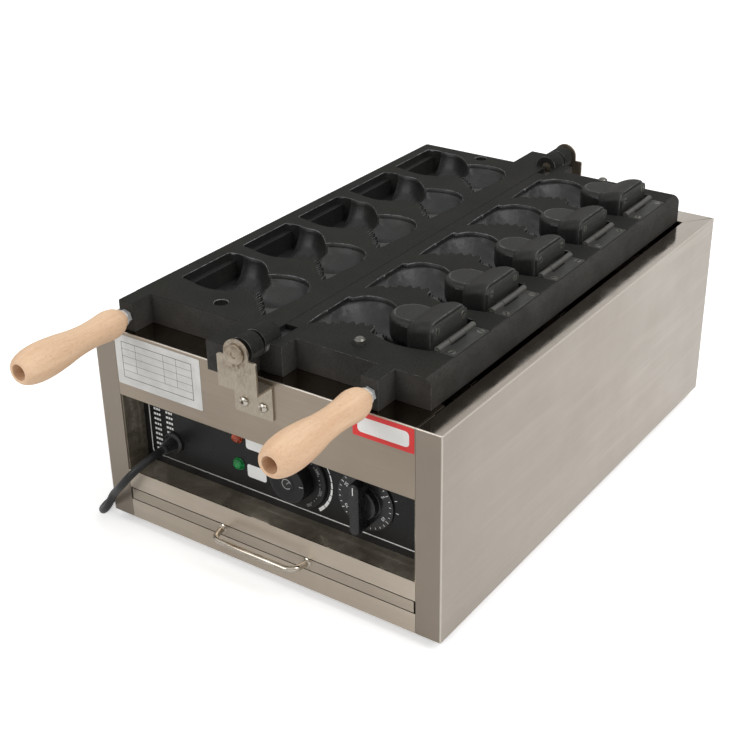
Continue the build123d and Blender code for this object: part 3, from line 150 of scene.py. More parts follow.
def finish_piece(piece, body, slot, material, *nodes):
    """Gives a piece its body and its material, and hides the nodes that it stands for; the slot is not used.
    """
    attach(piece, body)
    piece.data.materials.clear()
    piece.data.materials.append(material)
    if nodes:
        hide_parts(*nodes)
    return piece


def tube(name, kind, places, radius):
    """A round tube along places, as a curve, with its spline."""
    curve = bpy.data.curves.new(name, "CURVE")
    curve.dimensions = "3D"
    spline = curve.splines.new(kind)
    spline.points.add(len(places) - 1)
    for point, place in zip(spline.points, places):
        point.co = (*(c * MM for c in place), 1.0)
        point.radius = radius * MM
    curve.bevel_depth = 1.0
    curve.bevel_resolution = 6
    curve.use_fill_caps = True
    return linked(name, curve), spline


# Shells: closed surfaces as points and faces

def ring_shell(rings):
    """A closed shell through rings of points, all of one length."""
    count = len(rings[0])
    faces = [tuple(range(count))[::-1]]
    for a in range(0, count * (len(rings) - 1), count):
        b = a + count
        faces += [(a + k, a + (k + 1) % count, b + (k + 1) % count, b + k) for k in range(count)]
    last = count * (len(rings) - 1)
    faces.append(tuple(range(last, last + count)))
    return [tuple(point) for ring in rings for point in ring], faces


def stack_shell(levels):
    """A closed shell from outlines at rising heights."""
    return ring_shell([[(x, y, z) for x, y in outline] for outline, z in levels])


def box_shell(low, high):
    """A box between two corners."""
    (x0, y0, z0), (x1, y1, z1) = low, high
    outline = ((x0, y0), (x1, y0), (x1, y1), (x0, y1))
    return stack_shell([(outline, z0), (outline, z1)])


def pillow_shell(outline, low, high, radius_low, radius_high, steps):
    """A prism over an outline, given as a function of its inset, with rounded rims."""
    turns = [math.pi / 2 * k / steps for k in range(steps + 1)]
    levels = [(outline(radius_low * (1 - math.sin(t))), low + radius_low * (1 - math.cos(t))) for t in turns]
    levels += [(outline(radius_high * (1 - math.cos(t))), high - radius_high * (1 - math.sin(t)))
               for t in turns]
    return stack_shell(levels)


def lathe_shell(profile, origin, direction, segments=64, closed=False):
    """Points turned about an axis; the profile holds (distance along, radius)."""
    along_axis = Vector(direction).normalized()
    side = along_axis.orthogonal().normalized()
    up = along_axis.cross(side)
    verts, rings, faces = [], [], []
    for along, radius in profile:
        centre = Vector(origin) + along_axis * along
        if radius < 1e-4:
            rings.append([len(verts)] * segments)
            verts.append(tuple(centre))
            continue
        rings.append(list(range(len(verts), len(verts) + segments)))
        for k in range(segments):
            angle = 2 * math.pi * k / segments
            verts.append(tuple(centre + (side * math.cos(angle) + up * math.sin(angle)) * radius))
    for a, b in list(zip(rings, rings[1:])) + ([(rings[-1], rings[0])] if closed else []):
        for k in range(segments):
            n = (k + 1) % segments
            face = tuple(dict.fromkeys((a[k], b[k], b[n], a[n])))
            if len(face) > 2:
                faces.append(face)
    return verts, faces


def rod_shell(start, direction, length, radius, segments=40):
    """A plain round rod."""
    return lathe_shell([(0, 0), (0, radius), (length, radius), (length, 0)], start, direction, segments)


def moved(shell, u=0.0, v=0.0, w=0.0, mirror=1):
    """A shell moved, and mirrored in its first coordinate if mirror is -1."""
    verts, faces = shell
    return [(mirror * x + u, y + v, z + w) for x, y, z in verts], [face[::mirror] for face in faces]


# Outlines: flat closed lines

def catmull(points, steps):
    """A smooth line through chosen points."""
    out = []
    last = len(points) - 1
    for i in range(last):
        p0, p1, p2, p3 = (Vector(points[min(max(j, 0), last)]) for j in (i - 1, i, i + 1, i + 2))
        for k in range(steps):
            t = k / steps
            out.append(tuple(0.5 * (2 * p1 + (p2 - p0) * t + (2 * p0 - 5 * p1 + 4 * p2 - p3) * t * t
                                    + (3 * p1 - p0 - 3 * p2 + p3) * t ** 3)))
    return out + [tuple(points[-1])]


def offset_outline(outline, distance):
    """The outline moved inwards, for one that runs anticlockwise."""
    shifted = []
    for before, here, after in zip(outline[-1:] + outline[:-1], outline, outline[1:] + outline[:1]):
        run_in = (Vector(here) - Vector(before)).normalized()
        run_out = (Vector(after) - Vector(here)).normalized()
        normal = Vector((-run_in.y - run_out.y, run_in.x + run_out.x))
        if normal.length < 1e-6:
            normal = Vector((-run_in.y, run_in.x))
        shifted.append(tuple(Vector(here) + normal.normalized() * distance))
    return shifted


def anticlockwise(outline):
    """The same outline, turned the anticlockwise way."""
    area = sum(a[0] * b[1] - b[0] * a[1] for a, b in zip(outline, outline[1:] + outline[:1]))
    return outline if area > 0 else outline[::-1]


def polar(centre, radius, degrees):
    """A place at a radius and an angle from a centre."""
    turn = math.radians(degrees)
    return (centre[0] + radius * math.cos(turn), centre[1] + radius * math.sin(turn))


def arc(centre, radius, start, end, steps):
    """Places along an arc, with angles in degrees."""
    return [polar(centre, radius, start + (end - start) * k / steps) for k in range(steps + 1)]


def ring_sector(centre, inner, outer, start, end, steps=24):
    """The outline of a stretch of a ring."""
    return arc(centre, outer, start, end, steps) + arc(centre, inner, start, end, steps)[::-1]


def rounded_rectangle(x0, x1, y0, y1, radius, steps=5):
    """The outline of a rectangle with round corners, anticlockwise."""
    xs, ys = (x0 + radius, x1 - radius), (y0 + radius, y1 - radius)
    outline = []
    for centre, start in (((xs[1], ys[0]), -90), ((xs[1], ys[1]), 0),
                          ((xs[0], ys[1]), 90), ((xs[0], ys[0]), 180)):
        outline += arc(centre, radius, start, start + 90, steps)
    return outline


# Shading of the castings

FLAT_WIDTH = 3.0
RIM_WIDTH = 1.3
RIM_AREA = 2e-4
FLAT_COSINE = 0.99995


def flat_groups(mesh, beside):
    """Each face's group of coplanar neighbours, and each group's mean width in millimetres."""
    polygons = mesh.polygons
    group = [-1] * len(polygons)
    widths = []
    for polygon in polygons:
        if group[polygon.index] >= 0:
            continue
        number = len(widths)
        group[polygon.index] = number
        waiting, members = [polygon.index], []
        while waiting:
            here = waiting.pop()
            members.append(here)
            for key in polygons[here].edge_keys:
                for other in beside[key]:
                    if group[other] < 0 and polygons[here].normal.dot(polygons[other].normal) > FLAT_COSINE:
                        group[other] = number
                        waiting.append(other)
        around = 0.0
        for key in (key for i in members for key in polygons[i].edge_keys):
            if any(group[other] != number for other in beside[key]):
                around += (mesh.vertices[key[0]].co - mesh.vertices[key[1]].co).length
        widths.append(2 * sum(polygons[i].area for i in members) / max(around, 1e-9) / MM)
    return group, widths


def even_normals(piece, sharp):
    """Broad flat faces keep their own normals beside small rims, and the rims are marked for wear and a
    painted edge highlight.
    """
    mesh = piece.data
    shade(mesh, sharp)
    polygons = mesh.polygons
    beside = {}
    for polygon in polygons:
        for key in polygon.edge_keys:
            beside.setdefault(key, []).append(polygon.index)
    group, widths = flat_groups(mesh, beside)
    broad = [widths[number] > FLAT_WIDTH for number in group]
    owner = {}
    for polygon in polygons:
        if broad[polygon.index]:
            for vertex in polygon.vertices:
                owner.setdefault(vertex, []).append(polygon.normal.copy())
    normals = [corner.vector.copy() for corner in mesh.corner_normals]
    rim = mesh.attributes.new("rim", "FLOAT", "FACE")
    for polygon in polygons:
        index = polygon.index
        for loop in polygon.loop_indices:
            if broad[index]:
                normals[loop] = polygon.normal.copy()
                continue
            for normal in owner.get(mesh.loops[loop].vertex_index, ()):
                if polygon.normal.angle(normal, 0.0) < math.radians(sharp):
                    normals[loop] = normal
                    break
        near_broad = any(broad[other] for key in polygon.edge_keys for other in beside[key])
        if near_broad and not broad[index] and widths[group[index]] < RIM_WIDTH and polygon.area < RIM_AREA:
            rim.data[index].value = 1.0
    mesh.normals_split_custom_set(normals)


# Materials

WHITE = (1.0, 1.0, 1.0, 1.0)


def add_node(tree, kind, values=(), **settings):
    """A shader node with its settings; each value is set on a socket or, if it is a socket itself, linked."""
    made = tree.nodes.new(kind)
    for key, value in settings.items():
        setattr(made, key, value)
    for key, value in dict(values).items():
        if isinstance(value, bpy.types.NodeSocket):
            tree.links.new(value, made.inputs[key])
        else:
            made.inputs[key].default_value = value
    return made


def add_ramp(tree, factor, stops):
    """Colours at places of a factor."""
    made = add_node(tree, "ShaderNodeValToRGB", {"Fac": factor})
    elements = made.color_ramp.elements
    while len(elements) < len(stops):
        elements.new(0.5)
    for element, (place, colour) in zip(elements, stops):
        element.position = place
        element.color = (*colour, 1.0)
    return made.outputs["Color"]


class Paint:
    """A material under construction: a Principled shader and helpers that feed it."""

    def __init__(self, name, **values):
        self.material = bpy.data.materials.new(name)
        self.material.use_nodes = True
        self.tree = self.material.node_tree
        self.shader = self.tree.nodes["Principled BSDF"]
        for socket, value in values.items():
            self.shader.inputs[socket.replace("_", " ")].default_value = value
        self.coords = self.node("ShaderNodeTexCoord").outputs["Object"]

    def node(self, kind, values=(), **settings):
        return add_node(self.tree, kind, values, **settings)

    def noise(self, scale, stretch=(1, 1, 1), detail=3.0, roughness=0.5, distortion=0.0):
        """Noise in object coordinates; a stretch below 1 draws it out along that axis."""
        mapping = self.node("ShaderNodeMapping", {"Vector": self.coords, "Scale": stretch})
        return self.node("ShaderNodeTexNoise", {
            "Vector": mapping.outputs[0], "Scale": scale, "Detail": detail,
            "Roughness": roughness, "Distortion": distortion,
        }).outputs["Fac"]

    def ramp(self, factor, *stops):
        return add_ramp(self.tree, factor, stops)

    def mix(self, factor, a, b):
        """A mix of two colours."""
        a, b = (c if isinstance(c, bpy.types.NodeSocket) else (*c, 1.0) for c in (a, b))
        return self.node("ShaderNodeMix", {0: factor, 6: a, 7: b}, data_type="RGBA").outputs[2]

    def math(self, operation, a, b=0.5):
        return self.node("ShaderNodeMath", {0: a, 1: b}, operation=operation).outputs[0]

    def times(self, a, b):
        return self.math("MULTIPLY", a, b)

    def tint(self, base, mask, strength, colour):
        """The base with a colour over it where the mask is."""
        return self.mix(self.times(mask, strength), base, colour)

    def split(self, vector=None):
        """The parts of a vector, or of the object coordinates."""
        return self.node("ShaderNodeSeparateXYZ", {0: self.coords if vector is None else vector}).outputs

    def normal(self):
        """The parts of the surface's normal."""
        return self.split(self.node("ShaderNodeNewGeometry").outputs["Normal"])

    def band(self, value, low, high, start=0.0, end=1.0):
        """A value from start, below low, to end, above high."""
        return self.node("ShaderNodeMapRange", {
            "Value": value, "From Min": low, "From Max": high, "To Min": start, "To Max": end,
        }).outputs[0]

    def zone(self, coordinate, low, high):
        """0 below one place and 1 above another, in millimetres."""
        return self.band(coordinate, low * MM, high * MM)

    def edges(self, low=0.52, high=0.6):
        """Worn edges: 1 where the mesh is convex."""
        return self.band(self.node("ShaderNodeNewGeometry").outputs["Pointiness"], low, high)

    def set(self, socket, source):
        self.tree.links.new(source, self.shader.inputs[socket])

    def done(self, base, rough, height, strength, distance):
        """Sets the colour, the roughness and the bump, and returns the finished material."""
        self.set("Base Color", base)
        if rough is not None:
            self.set("Roughness", rough)
        bump = self.node("ShaderNodeBump", {"Height": height, "Strength": strength, "Distance": distance})
        self.set("Normal", bump.outputs[0])
        return self.material


def srgb(r, g, b):
    """A colour as it is read from a picture, 0 to 255, in the renderer's linear values."""
    values = (r / 255, g / 255, b / 255)
    return tuple(c / 12.92 if c <= 0.04045 else ((c + 0.055) / 1.055) ** 2.4 for c in values)


def scaled(colour, factor):
    """A lighter or darker colour."""
    return tuple(min(1.0, c * factor) for c in colour)


def brushed_steel(name, along, dark, light, painted_front_shade=None):
    """Brushed sheet: fine lines along one axis, soft clouds, smudges, painted highlights along the folds and
    glossier tops; with a front shade, painted shade darkens the sheet towards the front and on faces that
    face the front.
    """
    paint = Paint(name)
    lines, streaks = (
        paint.noise(scale, tuple(length if axis == along else 1.0 for axis in "xyz"), detail, 0.6)
        for scale, length, detail in ((900.0, 0.012, 2.0), (90.0, 0.06, 3.0))
    )
    base = paint.ramp(paint.noise(7.0, roughness=0.55), (0.3, dark), (0.7, light))
    base = paint.tint(base, paint.band(lines, 0.35, 0.65), 0.35, scaled(light, 0.80))
    base = paint.tint(base, paint.band(streaks, 0.5, 0.75), 0.35, scaled(light, 1.12))
    x, y, z = paint.split()
    normal = paint.normal()
    # Painted shade: darker towards the front of the sheet, and darker still on faces that face the front.
    if painted_front_shade:
        start, end, deep = painted_front_shade
        base = paint.mix(paint.zone(y, start, end), paint.mix(0.6, base, deep), base)
        base = paint.tint(base, paint.band(normal[1], -0.7, -0.9), 0.8, srgb(132, 121, 108))
    # A light line along the sheet's folds at the corners: a painted highlight.
    side_edge = paint.zone(paint.math("ABSOLUTE", x), HALF_W - 1.5, HALF_W - 0.8)
    front_edge = paint.zone(y, FRONT + 1.5, FRONT + 0.8)
    top_edge = paint.times(paint.zone(z, TOP - 1.3, TOP - 0.6), paint.math("MAXIMUM", side_edge, front_edge))
    fold_highlight = paint.math("MAXIMUM", paint.times(side_edge, front_edge), top_edge)
    base = paint.tint(base, fold_highlight, 0.5, srgb(232, 226, 216))
    upward = paint.band(normal[2], 0.7, 0.95)
    paint.set("Metallic", paint.band(upward, 0.0, 1.0, 0.72, 1.0))
    smudged = paint.band(paint.noise(24.0, detail=4.0, roughness=0.6), 0.35, 0.7, 0.28, 0.40)
    return paint.done(base, paint.math("SUBTRACT", smudged, paint.times(upward, 0.22)), lines, 0.10, 0.0002)


def shaded_liner_steel():
    """The recess's inner sheet: smoother, with brown smudges, and darker than the outer sheet as painted
    shade of the recess.
    """
    paint = Paint("shaded_liner_steel", Metallic=0.55)
    smudges = paint.noise(16.0, (1.0, 1.0, 2.5), 5.0, 0.65, 0.4)
    base = paint.ramp(smudges, (0.34, srgb(96, 88, 76)), (0.52, srgb(134, 126, 112)),
                      (0.72, srgb(172, 165, 150)))
    lines = paint.noise(700.0, (0.02, 1.0, 1.0), 2.0)
    return paint.done(base, paint.band(smudges, 0.3, 0.7, 0.32, 0.14), lines, 0.06, 0.0002)


OUTER_WALL = srgb(64, 62, 60)
# Light edge colour of the castings: partly wear, partly a painted highlight along the rims.
WORN_AND_HIGHLIT_EDGE = srgb(128, 130, 130)


def cast_metal(name, top, side, shaded_pocket, ground=True, wear=1.0):
    """Dark satin casting: ground matt faces; darker cavities with a soft sheen, partly the coating's own tone
    and partly painted shade; walls darker still as painted shade; light edges, partly wear and partly a
    painted highlight.
    """
    paint = Paint(name, Metallic=0.0)
    grains = paint.noise(520.0, roughness=0.75)
    clouds = paint.noise(22.0, detail=5.0, roughness=0.65)
    x, y, height = paint.split()
    # Faces turned sideways take the side colour, the darkest, as painted shade; upward cavity floors take the
    # pocket colour, darker than the top partly for the coating's own tone and partly as painted shade.
    base = paint.mix(paint.band(paint.normal()[2], 0.1, 0.7), side, shaded_pocket)
    if ground:
        face = paint.zone(height, PART_Z - 0.5, PART_Z - 0.1)
        within = paint.times(paint.zone(paint.math("ABSOLUTE", x), PLATE_OUT - 8.4, PLATE_OUT - 9.0),
                             paint.times(paint.zone(y, PLATE_FRONT + 0.6, PLATE_FRONT + 1.4),
                                         paint.zone(y, PLATE_BACK - 0.6, PLATE_BACK - 1.4)))
        outside = paint.math("SUBTRACT", 1.0, within)
        base = paint.mix(within, OUTER_WALL, base)
    else:
        face = paint.zone(height, PART_Z + 2.0, PART_Z + 16.0)
    base = paint.mix(face, base, top)
    base = paint.tint(base, paint.band(clouds, 0.4, 0.65), 0.45, scaled(top, 0.62))
    warm = (top[0] * 1.25, top[1] * 1.1, top[2] * 0.9)
    base = paint.tint(base, paint.band(paint.noise(9.0, roughness=0.6), 0.45, 0.65), 0.25, warm)
    base = paint.tint(base, paint.band(grains, 0.54, 0.70), 0.35, scaled(top, 2.6))
    base = paint.tint(base, paint.band(grains, 0.46, 0.34), 0.40, scaled(top, 0.3))
    # Rim faces turn light here: partly wear, partly a painted edge highlight.
    broken = paint.band(paint.noise(130.0, roughness=0.6), 0.42, 0.62, 0.2 * wear, 0.8 * wear)
    worn_and_highlit = paint.times(paint.node("ShaderNodeAttribute", attribute_name="rim").outputs["Fac"], broken)
    if ground:
        near_top = paint.zone(height, PART_Z - 2.2, PART_Z - 1.4)
        worn_and_highlit = paint.times(worn_and_highlit, paint.math("MAXIMUM", near_top, outside))
        face = paint.math("MAXIMUM", face, outside)
    base = paint.mix(worn_and_highlit, base, WORN_AND_HIGHLIT_EDGE)
    if not ground:
        base = paint.tint(base, paint.edges(high=0.62), 0.3, srgb(110, 110, 108))
    paint.set("Specular IOR Level", paint.band(face, 0.0, 1.0, 0.44, 0.06 if ground else 0.16))
    satin, matt = (0.43, 0.62) if ground else (0.34, 0.46)
    rough = paint.math("ADD", paint.band(face, 0.0, 1.0, satin, matt),
                       paint.times(paint.math("SUBTRACT", clouds, 0.5), 0.12))
    skin = paint.math("ADD", grains, paint.times(paint.noise(1500.0, detail=2.0, roughness=0.7), 0.6))
    return paint.done(base, rough, skin, 0.5, 0.0004)


def plain_metal(name, dark, light, roughness, metallic=0.95):
    """Small hardware: slight colour clouds, fine scratches, bright worn edges."""
    paint = Paint(name, Metallic=metallic)
    base = paint.ramp(paint.noise(60.0, detail=4.0, roughness=0.6), (0.35, dark), (0.68, light))
    base = paint.tint(base, paint.edges(), 0.5, scaled(light, 1.3))
    scratches = paint.noise(220.0, (1.0, 0.2, 1.0), 4.0, 0.7)
    rough = paint.band(scratches, 0.3, 0.7, max(0.03, roughness - 0.07), roughness + 0.07)
    return paint.done(base, rough, scratches, 0.08, 0.0002)


def tinted_bracket():
    """Bracket sheet: satin steel with brown heat marks below the pin."""
    paint = Paint("bracket_steel", Metallic=0.8)
    lines = paint.noise(800.0, (1.0, 1.0, 0.2), 2.0)
    blotches = paint.noise(95.0, (1.0, 1.0, 0.6), 5.0, 0.7, 0.6)
    base = paint.ramp(lines, (0.3, srgb(158, 148, 133)), (0.7, srgb(176, 166, 151)))
    x, _, z = paint.split()
    near_pin = paint.times(paint.zone(z, PART_Z - 34.0, PART_Z - 12.0),
                           paint.zone(paint.math("ABSOLUTE", x), 24.0, 6.0))
    heat = paint.times(paint.band(blotches, 0.40, 0.60), near_pin)
    base = paint.tint(base, heat, 0.8, srgb(104, 86, 66))
    stains = paint.band(paint.noise(300.0, detail=4.0, roughness=0.7), 0.55, 0.7)
    base = paint.tint(base, stains, 0.25, srgb(130, 116, 98))
    return paint.done(base, paint.band(blotches, 0.3, 0.7, 0.24, 0.42), lines, 0.10, 0.0002)


def plastic(name, colour, roughness=0.35, wear=0.25, dust=0.12, gleam=0.3):
    """Moulded plastic or rubber: a fine skin, faint dust and paler edges."""
    paint = Paint(name, Specular_IOR_Level=gleam)
    clouds = paint.noise(45.0, detail=4.0, roughness=0.6)
    base = paint.tint(colour, paint.band(clouds, 0.4, 0.7), dust * 4, tuple(c + 0.012 for c in colour))
    base = paint.tint(base, paint.edges(), wear, tuple(min(1.0, c + 0.12) for c in colour))
    rough = paint.band(clouds, 0.3, 0.7, roughness - 0.06, roughness + 0.10)
    return paint.done(base, rough, paint.noise(900.0, roughness=0.6), 0.12, 0.0003)


def beech_wood():
    """Beech: pale, with long soft bands and short fine dark flecks along the handle."""
    paint = Paint("beech_wood", Specular_IOR_Level=0.3)
    bands = paint.noise(70.0, (1.0, 0.06, 1.0), 5.0, 0.6, 0.3)
    fibres = paint.noise(900.0, (1.0, 0.03, 1.0), 3.0, 0.6)
    flecks = paint.noise(1500.0, (1.0, 0.12, 1.0), 1.0, 0.4)
    tone = paint.noise(14.0, (1.0, 0.35, 1.0))
    base = paint.ramp(bands, (0.3, srgb(214, 176, 144)), (0.5, srgb(225, 191, 158)),
                      (0.7, srgb(235, 205, 172)))
    base = paint.tint(base, paint.band(tone, 0.4, 0.7), 0.35, srgb(222, 178, 144))
    base = paint.tint(base, paint.band(fibres, 0.5, 0.7), 0.22, srgb(196, 150, 112))
    base = paint.tint(base, paint.band(flecks, 0.60, 0.70), 0.28, srgb(178, 128, 92))
    grain = paint.math("SUBTRACT", bands, paint.times(fibres, 0.8))
    return paint.done(base, paint.band(bands, 0.3, 0.7, 0.5, 0.62), grain, 0.2, 0.0003)


def print_ink(name, colour):
    """Printed ink with slight thin spots."""
    paint = Paint(name, Roughness=0.45)
    spots = paint.noise(800.0, roughness=0.7)
    base = paint.ramp(spots, (0.25, scaled(colour, 0.86)), (0.4, colour))
    return paint.done(base, None, spots, 0.05, 0.0001)


def leaf_metal(name, flat_x, barrel_x):
    """Hinge leaf: dark like the casting, with fine lines across and a lighter rolled barrel."""
    paint = Paint(name, Metallic=0.3, Specular_IOR_Level=0.4)
    lines = paint.noise(700.0, (1.0, 0.05, 1.0), 3.0, 0.6)
    clouds = paint.noise(60.0, detail=4.0, roughness=0.6)
    base = paint.ramp(lines, (0.3, srgb(36, 36, 35)), (0.7, srgb(60, 60, 57)))
    base = paint.tint(base, paint.band(clouds, 0.4, 0.7), 0.4, srgb(46, 45, 42))
    base = paint.mix(paint.zone(paint.split()[0], flat_x, barrel_x), base, srgb(84, 83, 80))
    return paint.done(base, paint.band(clouds, 0.3, 0.7, 0.36, 0.52), lines, 0.2, 0.0003)


def lens(name, colour, deep):
    """A coloured, slightly see-through lens."""
    paint = Paint(name, Roughness=0.12, Transmission_Weight=0.35, IOR=1.49)
    clouds = paint.noise(350.0, detail=2.0)
    return paint.done(paint.ramp(clouds, (0.3, deep), (0.7, colour)), None, clouds, 0.08, 0.0002)


def foil():
    """The rating plate's silver foil."""
    paint = Paint("label_foil", Metallic=0.25)
    wrinkles = paint.noise(40.0, detail=5.0, roughness=0.6)
    base = paint.ramp(wrinkles, (0.3, srgb(190, 190, 188)), (0.7, srgb(214, 213, 210)))
    fine = paint.noise(600.0, (0.1, 1.0, 1.0), 2.0)
    return paint.done(base, paint.band(fine, 0.3, 0.7, 0.3, 0.45), wrinkles, 0.10, 0.0003)


# One brushed stainless in four tones, set by how brightly each sheet is lit: the upper front and the tray
# darker as painted shade, the lower front and the sides lighter as painted light.
SHADED_FRONT_STEEL = brushed_steel("shaded_front_steel", "x", srgb(138, 126, 112), srgb(158, 146, 131))
LIT_LOWER_STEEL = brushed_steel("lit_lower_steel", "x", srgb(178, 166, 151), srgb(198, 187, 172))
SHADED_TRAY_STEEL = brushed_steel("shaded_tray_steel", "x", srgb(160, 149, 135), srgb(180, 169, 155))
LIT_SIDE_STEEL = brushed_steel("lit_side_steel", "y", srgb(186, 177, 167), srgb(204, 196, 187),
                           painted_front_shade=(FRONT, FRONT + 420.0, srgb(150, 140, 128)))
SHADED_LINER = shaded_liner_steel()
# The side colour darkens the walls as painted shade; the pocket colour is the coating's darker tone, deepened
# as painted shade.
PLATE_CAST = cast_metal("plate_casting", srgb(40, 40, 38), srgb(13, 14, 14), srgb(17, 18, 20))
CORE_CAST = cast_metal("core_casting", srgb(35, 35, 34), srgb(18, 19, 20), srgb(24, 25, 25), False, 0.45)
LEAF_STEEL = leaf_metal("moving_leaf", 137.0, 138.0)
FIXED_LEAF = leaf_metal("fixed_leaf", 145.7, 145.2)
SCREW_DARK = plain_metal("dark_screws", srgb(74, 73, 70), srgb(118, 116, 110), 0.34, 0.8)
BRACKET = tinted_bracket()
BRIGHT = plain_metal("bright_steel", srgb(176, 170, 160), srgb(214, 208, 198), 0.2)
PIN_STEEL = plain_metal("pin_steel", srgb(124, 110, 94), srgb(176, 164, 148), 0.32)
ZINC = plain_metal("zinc_plate", srgb(172, 172, 170), srgb(216, 218, 218), 0.3, 0.6)
CHROME = plain_metal("chrome", srgb(150, 141, 128), srgb(196, 188, 176), 0.09, 1.0)
HEATER = plain_metal("heater_sheath", srgb(58, 52, 48), srgb(92, 84, 76), 0.5, 0.7)
PANEL_PAINT = plastic("panel_paint", srgb(14, 14, 15), roughness=0.3, wear=0.05, dust=0.03, gleam=0.18)
KNOB_BLACK = plastic("knob_black", srgb(17, 17, 18), roughness=0.36, gleam=0.22)
DIAL_GREY = plastic("dial_grey", srgb(22, 22, 23), roughness=0.24, gleam=0.4)
GLAND_BLACK = plastic("gland_black", srgb(22, 22, 23), roughness=0.28, gleam=0.45)
RUBBER = plastic("foot_rubber", srgb(28, 28, 28), roughness=0.7)
CORD_BLACK = plastic("cord_rubber", srgb(21, 21, 22), roughness=0.42)
SWITCH_BODY = plastic("switch_body", srgb(205, 200, 186), roughness=0.45)
WIRE_COAT = plastic("wire_coat", srgb(190, 180, 168), roughness=0.55)
BEECH = beech_wood()
WHITE_INK = print_ink("white_ink", srgb(228, 228, 226))
GREY_INK = print_ink("grey_ink", srgb(150, 150, 147))
DARK_INK = print_ink("dark_ink", srgb(92, 92, 92))
RED_INK = print_ink("red_ink", srgb(212, 34, 34))
FOIL = foil()
GREEN_LENS = lens("green_lens", srgb(24, 170, 84), srgb(8, 110, 50))
ORANGE_LENS = lens("orange_lens", srgb(214, 84, 34), srgb(140, 46, 18))


# Frame nodes that keep their shape

for worn_material, names in (
    (LIT_SIDE_STEEL, ("side_panel_left", "side_panel_right", "back_panel")),
    (SHADED_FRONT_STEEL, ("front_upper_panel", "base_pan", "tray_runners", "heat_tray")),
    (LIT_LOWER_STEEL, ("front_lower_panel", "bottom_rail")),
    (SHADED_TRAY_STEEL, ("drip_tray",)),
    (SHADED_LINER, ("recess_liner",)),
    (PANEL_PAINT, ("control_panel",)),
    (BRACKET, ("hinge_bracket_front", "hinge_bracket_rear")),
    (HEATER, ("heater_left", "heater_right")),
    (SWITCH_BODY, ("thermostat_body", "timer_body", "terminal_block")),
    (WIRE_COAT, ("internal_wiring",)),
    (BRIGHT, ("thermostat_spindle", "timer_spindle", "leaf_pins")),
    (LEAF_STEEL, [f"core_leaf_{k}" for k in range(1, 6)]),
    (SCREW_DARK, ("locating_pins",)),
):
    for name in names:
        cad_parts[name].data.materials.clear()
        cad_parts[name].data.materials.append(worn_material)


# Mould cavities. A cavity is described in (u, v): u from the hinge line, v from the row's centre.

CAVITY_GRID = 2.0
RING_INSETS = (1.1, 2.0, 3.2, 4.8, 6.6)
RING_STEP = 1.5
STEP_REACH = 24
LIP = 0.5
WALL_DRAFT = 0.5
BODY_CENTRE = (50.0, -5.0)
BODY_REACH = 36.0
BODY_DEPTH = 20.0
BODY_CURVE = 26.0
BODY_POWER = 0.85
HEAD_CENTRE = (108.0, -1.0)
HEAD_REACH = 33.5
HEAD_OVAL = 0.8
# The head's depth, the curve of its wall, the power of that curve, and where the straight slot begins
LEFT_HOLLOW = (25.5, 16.0, 0.65, 131.0)
RIGHT_HOLLOW = (23.0, 20.0, 0.5, 117.0)
NEAR_CURVE = 8.0
SMOOTH_ROUNDS = 14
CREASE = 0.9
SHELF_U = 140.0
SHELF_DEPTH = 8.0
SHELF_SLOPE = 12.0
FIN_DEPTH = 4.0
TIP_DEPTH = 3.0


def share_of(value):
    """A value kept between 0 and 1."""
    return min(max(value, 0.0), 1.0)


def wall_distance(point, outline):
    """How far a place is inside an outline; 0 outside."""
    x, y = point
    nearest = math.inf
    inside = False
    for (ax, ay), (bx, by) in zip(outline, outline[1:] + outline[:1]):
        dx, dy = bx - ax, by - ay
        share = share_of(((x - ax) * dx + (y - ay) * dy) / max(dx * dx + dy * dy, 1e-12))
        nearest = min(nearest, math.hypot(ax + dx * share - x, ay + dy * share - y))
        if (ay > y) != (by > y) and x < (bx - ax) * (y - ay) / (by - ay) + ax:
            inside = not inside
    return nearest if inside else 0.0


def evenly(outline, step):
    """Points at even steps along a closed outline."""
    out = []
    along = 0.0
    for a, b in zip(outline, outline[1:] + outline[:1]):
        length = math.hypot(b[0] - a[0], b[1] - a[1])
        while along < length:
            share = along / length
            out.append((a[0] + (b[0] - a[0]) * share, a[1] + (b[1] - a[1]) * share))
            along += step
        along -= length
    return out


def bowl(depth, distance, curve, power):
    """A hollow wall that ends flat; with a power of a half it leaves the rim straight down, with 1 aslant."""
    return depth * (1 - (1 - share_of(distance / curve)) ** 2) ** power


def cavity_depth(u, v, hollow, plain):
    """The cavity's depth, the deepest of its body, head and fin, and how far the two bowls differ."""
    head_depth, head_curve, head_power, slot_u = hollow
    wall = wall_distance((u, v), plain)
    body_wall = min(wall, BODY_REACH - math.hypot(u - BODY_CENTRE[0], v - BODY_CENTRE[1]))
    body = bowl(BODY_DEPTH, body_wall, BODY_CURVE, BODY_POWER)
    head = head_depth
    if u <= slot_u:
        from_centre = math.hypot(min(u - HEAD_CENTRE[0], 0.0), HEAD_OVAL * (v - HEAD_CENTRE[1]))
        curve = head_curve + (NEAR_CURVE - head_curve) * share_of((HEAD_CENTRE[1] - v) / head_curve)
        head = bowl(head_depth, min(wall, HEAD_REACH - from_centre), curve, head_power)
    head = min(head, SHELF_DEPTH + SHELF_SLOPE * max(SHELF_U - u, 0.0))
    fin = FIN_DEPTH
    if v < -25.0 and u < 60.0:
        fin = TIP_DEPTH + (FIN_DEPTH - TIP_DEPTH) * max(0.0, (v + 60.0) / 35.0)
    return max(body, head, fin), abs(body - head)


def stretches(line):
    """Each stretch of a line: its start, its run and the direction square to it."""
    for a, b in zip(line, line[1:]):
        start, run = Vector(a), Vector(b) - Vector(a)
        yield start, run, Vector((run.y, -run.x)).normalized()


